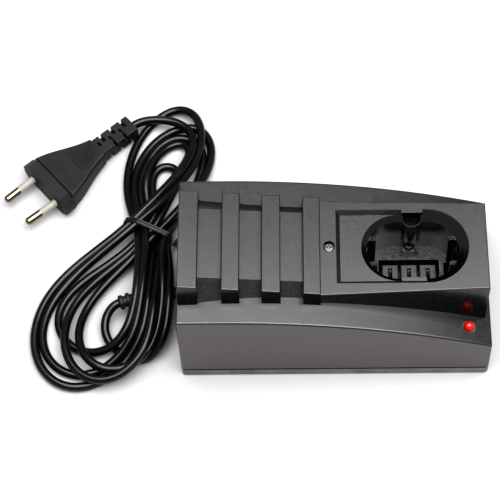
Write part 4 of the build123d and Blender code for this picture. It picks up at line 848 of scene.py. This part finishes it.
@dataclass
class TwistTie:
    """A plastic-covered wire strip wound round the hank's waist, with its ends twisted together."""

    waist_mm: Pair = (-91.0, 37.6)
    direction_deg: float = 66.2
    at_mm: float = -3.5
    width_mm: float = 2.8
    thickness_mm: float = 0.7
    play_mm: float = 0.35
    skew_mm: float = 0.6
    # Half the size of a strand that the band presses on, across the bundle and up.
    strand_mm: Pair = (1.9, 2.35)
    search_mm: float = 22.0
    search_share: float = 0.6
    points_round: int = 96
    points_per_strand: int = 16
    # The strip's half thickness, the wire's rise and width, and the edge bead's rise, width and inset.
    wing_mm: float = 0.16
    wire_mm: Pair = (0.3, 0.35)
    bead_mm: Triple = (0.12, 0.22, 0.2)
    strip_points: int = 17
    ends_across_mm: float = 13.2
    ends_length_mm: float = 8.0
    ends_height_mm: Pair = (5.5, 1.3)
    ends_turns: float = 3.0
    ends_points: int = 44
    twist_radius_mm: float = 0.55
    end_mm: Pair = (1.1, 0.8)

    def _directions(self) -> tuple[np.ndarray, np.ndarray]:
        """Return the directions along the bundle and across it."""
        a = math.radians(self.direction_deg)
        return np.array([math.cos(a), math.sin(a), 0]), np.array([math.sin(a), -math.cos(a), 0])

    def _bundle_outline(self, path: np.ndarray) -> np.ndarray:
        """Find the outline of the strands where the tie goes round them.

        Args:
            path: The points the lead follows.

        Returns:
            Outline points, across the bundle and up, in metres.
        """
        along, across = (v[:2] for v in self._directions())
        spot = np.array(self.waist_mm) * MM
        near = path[np.linalg.norm(path[:, :2] - spot, axis=1) < self.search_mm * MM]
        depth = (near[:, :2] - spot) @ along
        near = near[np.abs(depth - self.at_mm * MM) < self.width_mm * self.search_share * MM]
        middles = np.stack([(near[:, :2] - spot) @ across, near[:, 2]], 1)
        sizes = (2 * (half + self.play_mm) * MM for half in self.strand_mm)
        strand = oval(*sizes, self.points_per_strand)
        cloud = np.concatenate([middles + edge for edge in strand])
        turn = np.linspace(0, FULL_TURN, self.points_round, endpoint=False)
        normals = np.stack([np.cos(turn), np.sin(turn)], 1)
        reach = (cloud @ normals.T).max(axis=0)
        # The band is the curve that all these tangent lines touch: a support function's envelope.
        slope = (np.roll(reach, -1) - np.roll(reach, 1)) / (2 * (turn[1] - turn[0]))
        slope = (np.roll(slope, 1) + slope + np.roll(slope, -1)) / 3
        tangents = np.stack([-np.sin(turn), np.cos(turn)], 1)
        outline = normals * reach[:, None] + tangents * slope[:, None]
        outline[:, 1] = np.maximum(outline[:, 1], self.thickness_mm * MM)
        return outline

    def _strip(self) -> np.ndarray:
        """Outline the strip: two thin wings with beaded edges beside the round wire."""
        edge = self.width_mm / 2
        places = np.linspace(-edge, edge, self.strip_points)
        wire_rise, wire_width = self.wire_mm
        bead_rise, bead_width, bead_inset = self.bead_mm
        half = self.wing_mm + wire_rise * np.exp(-(places / wire_width) ** 2)
        half += bead_rise * np.exp(-((np.abs(places) - edge + bead_inset) / bead_width) ** 2)
        outline = np.concatenate([np.stack([half, places], 1), np.stack([-half, places], 1)[::-1]])
        return outline * MM

    def build(self, path: np.ndarray, finish: Material) -> Piece:
        """Make the tie.

        Args:
            path: The points the lead follows.
            finish: The tie's finish.

        Returns:
            The tie.
        """
        along, across = self._directions()
        up = np.array(UP)
        spot = np.array([*self.waist_mm, 0]) * MM + along * self.at_mm * MM
        outline = self._bundle_outline(path)
        skew = self.skew_mm * MM * np.sin(np.linspace(0, FULL_TURN, len(outline), endpoint=False))
        ring = spot + along * skew[:, None] + across * outline[:, :1] + up * outline[:, 1:]
        shapes = [swept(ring, self._strip(), Vector(along), closed=True)]
        # The two ends leave the ring low on the housing's side and turn round each other.
        steps = np.linspace(0, 1, self.ends_points)[:, None]
        root, tip = self.ends_height_mm
        middle = spot + (across * self.ends_across_mm + along * steps * self.ends_length_mm
                         + up * (root + (tip - root) * steps)) * MM
        end = oval(*(size * MM for size in self.end_mm), sides=10)
        for start in (0, math.pi):
            wind = steps * self.ends_turns * FULL_TURN + start
            twist = (across * np.cos(wind) + up * np.sin(wind)) * self.twist_radius_mm * MM
            shapes.append(swept(middle + twist, end))
        tie = mesh_piece("hank_tie", joined(shapes), finish)
        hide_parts("twist_tie")
        return tie


# ---- plug

@dataclass
class Plug:
    """The flat two-pin plug with its fine grip ribs."""

    face_mm: Pair = (-147.2, 61.5)
    angle_deg: float = 41.3
    height_mm: float = 13.7
    # The body narrows from the flange to the relief: half heights, and half widths at even steps.
    taper_mm: Pair = (6.4, 35.0)
    half_heights_mm: Pair = (6.35, 4.8)
    half_widths_mm: tuple[float, ...] = (15.6, 14.3, 12.3, 10.0, 8.0, 6.6)
    edge_mm: float = 2.2
    grip_start_mm: float = 20.0
    grip_pitch_mm: float = 0.95
    grip_count: int = 15
    rib_mm: Pair = (0.5, 0.55)
    rib_points: int = 14
    rib_depth_mm: float = 0.05
    # The ribs' ends sink into the face along this curve.
    rib_sink_mm: float = 0.35
    rib_sink_power: int = 6

    def place(self) -> Matrix:
        """Return the plug's own frame: X from the pin face to the lead, Z up."""
        spot = Vector((*self.face_mm, self.height_mm / 2)) * MM
        return Matrix.Translation(spot) @ Matrix.Rotation(math.radians(self.angle_deg), 4, "Z")

    def half_height(self, x_mm: float) -> float:
        """Return half the body's thickness at x_mm from the pin face, in millimetres."""
        return float(np.interp(x_mm, self.taper_mm, self.half_heights_mm))

    def half_width(self, x_mm: float) -> float:
        """Return half the grip's width at x_mm from the pin face, in millimetres."""
        steps = np.linspace(*self.taper_mm, len(self.half_widths_mm))
        return float(np.interp(x_mm, steps, self.half_widths_mm)) - self.edge_mm

    def _rib(self, x_mm: float, side: int) -> tuple:
        """Shape one grip rib.

        Args:
            x_mm: Its place from the pin face.
            side: 1 for the upper face, -1 for the lower one.

        Returns:
            The vertices and the faces.
        """
        half = self.half_width(x_mm)
        across = np.linspace(-half, half, self.rib_points)
        sunk = self.rib_depth_mm + self.rib_sink_mm * (np.abs(across) / half) ** self.rib_sink_power
        heights = side * (self.half_height(x_mm) - sunk)
        path = np.stack([np.full(self.rib_points, x_mm), across, heights], 1)
        return swept(path * MM, oval(*(size * MM for size in self.rib_mm), sides=8))

    def build(self, finish: Material) -> Piece:
        """Make the grip ribs on both broad faces.

        Args:
            finish: The plug's finish.

        Returns:
            The ribs.
        """
        points, faces = joined([
            self._rib(self.grip_start_mm + i * self.grip_pitch_mm, side)
            for side in (-1, 1) for i in range(self.grip_count)])
        place = self.place()
        points = [place @ Vector(p) for p in points]
        return mesh_piece("plug_grip_ribs", (points, faces), finish)


# ---- housing and what it holds

@dataclass
class Housing:
    """Both shells, their screws and feet, and the status light."""

    rim_z_mm: float = 4.7

    def build(self) -> None:
        """Dress the housing's parts."""
        # ABS against a spark-eroded tool scatters light in pinpoints and looks dry and grey.
        dress(GrainedHousing("grained charcoal ABS", "#090808", "#191616", "#050404", "#0e0c0c",
                             "#4b4243", "#3f383b").make(), "top_shell")
        # The base is the same plastic, painted lighter for the light its front band reflects, with painted
        # shade in the seam above it.
        dress(Plastic("grained base ABS", "#5c5658", "#787274", grain_mm=0.7, roughness=0.42,
                      seam_shade_above_mm=self.rim_z_mm).make(), "base_shell")
        # Filled rubber is dull and nearly black, with a faint bloom.
        dress(Plastic("black foot rubber", "#141414", "#2a2a2a", roughness=0.85, ior=1.52).make(),
              "rubber_feet")
        # Zinc-plated steel with a dark passivation: a soft grey shine with turning marks.
        dress(Metal("blackened screw steel", "#272526", "#434041", 0.42, streak_mm=0.4).make(),
              "pocket_screw", "case_screws", "board_screws", "clamp_screws")
        # Bright zinc, dulled by handling: an even middle grey.
        dress(Metal("zinc screw steel", "#5b5957", "#7d7a78", 0.45, streak_mm=0.4).make(), "top_screw")
        # Diffused red epoxy: wet-looking skin over a body that holds the colour, with a painted glow that
        # brightens the red.
        dress(TintedLens("red lamp epoxy", "#cf1206", "#8a0a04", 0.2, 0.2, 1.53).make(), "status_led")


@dataclass
class Contacts:
    """The terminal block in the pocket and its copper leaves."""

    towers_x_mm: tuple[float, ...] = (27.4, 36.5, 45.6)
    # The stiff leaf at the back of each slot, which stops a blade: Y and Z of its bends.
    backing_mm: tuple[Pair, ...] = ((1.9, 12.8), (1.9, 18.6), (0.5, 23.4), (1.7, 27.2))
    backing_points: int = 49
    rounding_passes: int = 3
    strip_mm: Pair = (1.4, 0.4)
    strip_points: int = 16
    strip_squareness: float = 7.0

    def _backing_leaf(self, x_mm: float) -> tuple:
        """Bend one backing leaf.

        Args:
            x_mm: Its slot's place along the pocket.

        Returns:
            The vertices and the faces.
        """
        ys, zs = np.array(self.backing_mm).T
        heights = np.linspace(zs[0], zs[-1], self.backing_points)
        depths = np.interp(heights, zs, ys)
        for _ in range(self.rounding_passes):
            depths[1:-1] = (depths[:-2] + depths[1:-1] + depths[2:]) / 3
        path = np.stack([np.full(len(heights), x_mm), depths, heights], 1) * MM
        strip = oval(*(size * MM for size in self.strip_mm), self.strip_points, self.strip_squareness)
        return swept(path, strip, Vector((0, 1, 0)))

    def build(self) -> None:
        """Dress the terminal block and the leaves."""
        # Glass-filled nylon: slightly mottled grey, matte, with a dry edge.
        dress(Plastic("grey terminal nylon", "#282828", "#464747", grain_mm=1.1, roughness=0.5).make(),
              "terminal_block")
        # Rolled copper strip under thin tarnish, whose oxide scatters light and dulls the shine.
        copper = Metal("tarnished copper", "#a5694a", "#6b4230", 0.4, streak_mm=0.6, metallic=0.6).make()
        dress(copper, "contact_left", "contact_centre", "contact_right")
        leaves = joined([self._backing_leaf(x) for x in self.towers_x_mm])
        mesh_piece("contact_backing_leaves", leaves, copper)
        # Square brass wire under tin: a soft white shine.
        dress(Metal("tinned pin brass", "#b9b6ad", "#8f8c84", 0.3).make(), "terminal_pins", "led_legs")


@dataclass
class Electronics:
    """The circuit board and what stands on it."""

    resistor_x_mm: float = 13.0

    def build(self) -> None:
        """Dress the board's parts."""
        # Green lacquer over copper: a satin face with the tracks a shade lighter.
        dress(SolderMaskedBoard().make(), "circuit_board")
        # PVC shrink sleeve: smooth, satin and a little wavy over the can.
        dress(Plastic("capacitor sleeve", "#1c2a52", "#2c3d6e", grain_mm=4.0, roughness=0.3).make(),
              "filter_capacitor")
        # Epoxy moulding compound: charcoal, matte, finely pitted.
        dress(Plastic("moulding epoxy", "#1d1d1f", "#303033", grain_mm=0.5, roughness=0.6, ior=1.55).make(),
              "rectifier_diodes", "thyristor", "control_chip")
        # Baked paint on ceramic: tan and satin, with thin bands of colour.
        dress(BandedPaint("resistor paint", "#c2a878", ("#8b4a1f", "#111111", "#a11d17", "#b8923a"),
                          self.resistor_x_mm).make(), "resistors")
        # Extruded aluminium: bright, with die lines along the fins.
        dress(Metal("extruded aluminium", "#c3c5c7", "#999b9d", 0.35, streak_mm=0.7).make(), "heat_sink")
        # Drawn glass tube: clear, with a faint green at its edges.
        dress(TintedLens("fuse glass", "#e8efec", "#c9d3cf", 0.85, 0.0, 1.5).make(), "fuse")
        # Spring brass under tin: a warm white shine, streaked along the strip.
        dress(Metal("tinned clip brass", "#c7c0ac", "#9e9781", 0.28, Streak.ALONG_X).make(), "fuse_clips")


@dataclass
class Transformer:
    """The laminated core, its strap and its windings."""

    def build(self) -> None:
        """Dress the transformer's parts."""
        # Silicon steel sheets of half a millimetre, varnished: dark with thin bright edges.
        dress(Layered("varnished laminations", "#6e6a66", "#2a2725", 0.5, Stack.ALONG_Y, 0.7, 0.45).make(),
              "transformer_core")
        # Zinc-plated sheet: a blue-grey sheen along the strap.
        dress(Metal("zinc plated strap", "#a9abac", "#83868a", 0.32, Streak.ALONG_X, 0.8).make(),
              "transformer_frame")
        # Glass-filled nylon in its natural cream, faintly translucent at thin edges.
        dress(Plastic("cream bobbin nylon", "#cfc7b2", "#e0d9c8", roughness=0.45).make(),
              "transformer_bobbin")
        # Enamelled wire under tape: amber, with a line at every turn.
        dress(Layered("thin enamelled wire", "#a8562a", "#5e2a14", 0.6, Stack.ALONG_Z, 0.6, 0.35).make(),
              "primary_winding")
        dress(Layered("thick enamelled wire", "#b8642f", "#63300f", 1.2, Stack.ALONG_Z, 0.6, 0.35).make(),
              "secondary_winding")
        # Soft PVC insulation: brick red and satin.
        dress(Plastic("wire insulation", "#8a1c1a", "#a42a26", grain_mm=2.0, roughness=0.4).make(),
              "mains_wires", "secondary_wires")


@dataclass
class CordEntry:
    """The ribbed boot, the clamp and the tail of the lead inside, and the plug at the far end."""

    def build(self, cord_finish: Material, plug_finish: Material) -> None:
        """Dress the parts at both ends of the lead.

        Args:
            cord_finish: The lead's finish.
            plug_finish: The plug's finish, which the boot shares.
        """
        dress(cord_finish, "cord_inner_tail")
        dress(plug_finish, "strain_relief_boot", "plug_body")
        # Filled nylon: black and satin.
        dress(Plastic("black clamp nylon", "#1f1f20", "#323233", roughness=0.45).make(), "cord_clamp")
        # Nickel-plated brass, tarnished: warm grey and smooth, softly streaked along the pin.
        dress(Metal("nickel plated pins", "#8f8574", "#6c6050", 0.16, Streak.ALONG_X, 0.9).make(),
              "plug_pins")
        # PVC sleeve, off-white and satin.
        dress(Plastic("off-white pin sleeve", "#85827b", "#96928b", grain_mm=1.4,
                      roughness=0.38, roughness_spread=0.08).make(), "pin_sleeves")


def main() -> None:
    """Build and dress the charger, its lead and its plug."""
    logging.basicConfig(level=logging.INFO, format="%(name)s: %(message)s")
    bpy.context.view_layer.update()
    Studio().build()
    # Soft PVC as extruded: near black, smooth and a little glossy, faintly wavy.
    cord_finish = Plastic("black cord PVC", "#070708", "#0e0f10", grain_mm=3.0, grain_depth_mm=0.03,
                          roughness=0.22, roughness_spread=0.08, ior=1.53, gloss=0.35).make()
    # The plug and the boot are moulded of a harder PVC against an eroded tool: matte charcoal.
    plug_finish = Plastic("matte plug PVC", "#141415", "#202022", grain_mm=0.8, grain_depth_mm=0.03,
                          ior=1.53).make()
    # The tie's plastic cover is thin over its wire: satin black with stretched highlights.
    tie_finish = Plastic("black tie plastic", "#0c0c0d", "#1a1a1b", grain_mm=1.6,
                         roughness=0.34, gloss=0.35).make()
    mains_lead = MainsLead()
    lead, path = mains_lead.build(cord_finish)
    tie = TwistTie().build(path, tie_finish)
    ribs = Plug().build(plug_finish)
    CordEntry().build(cord_finish, plug_finish)
    Housing().build()
    Contacts().build()
    Electronics().build()
    Transformer().build()


if __name__ == "__main__":
    main()
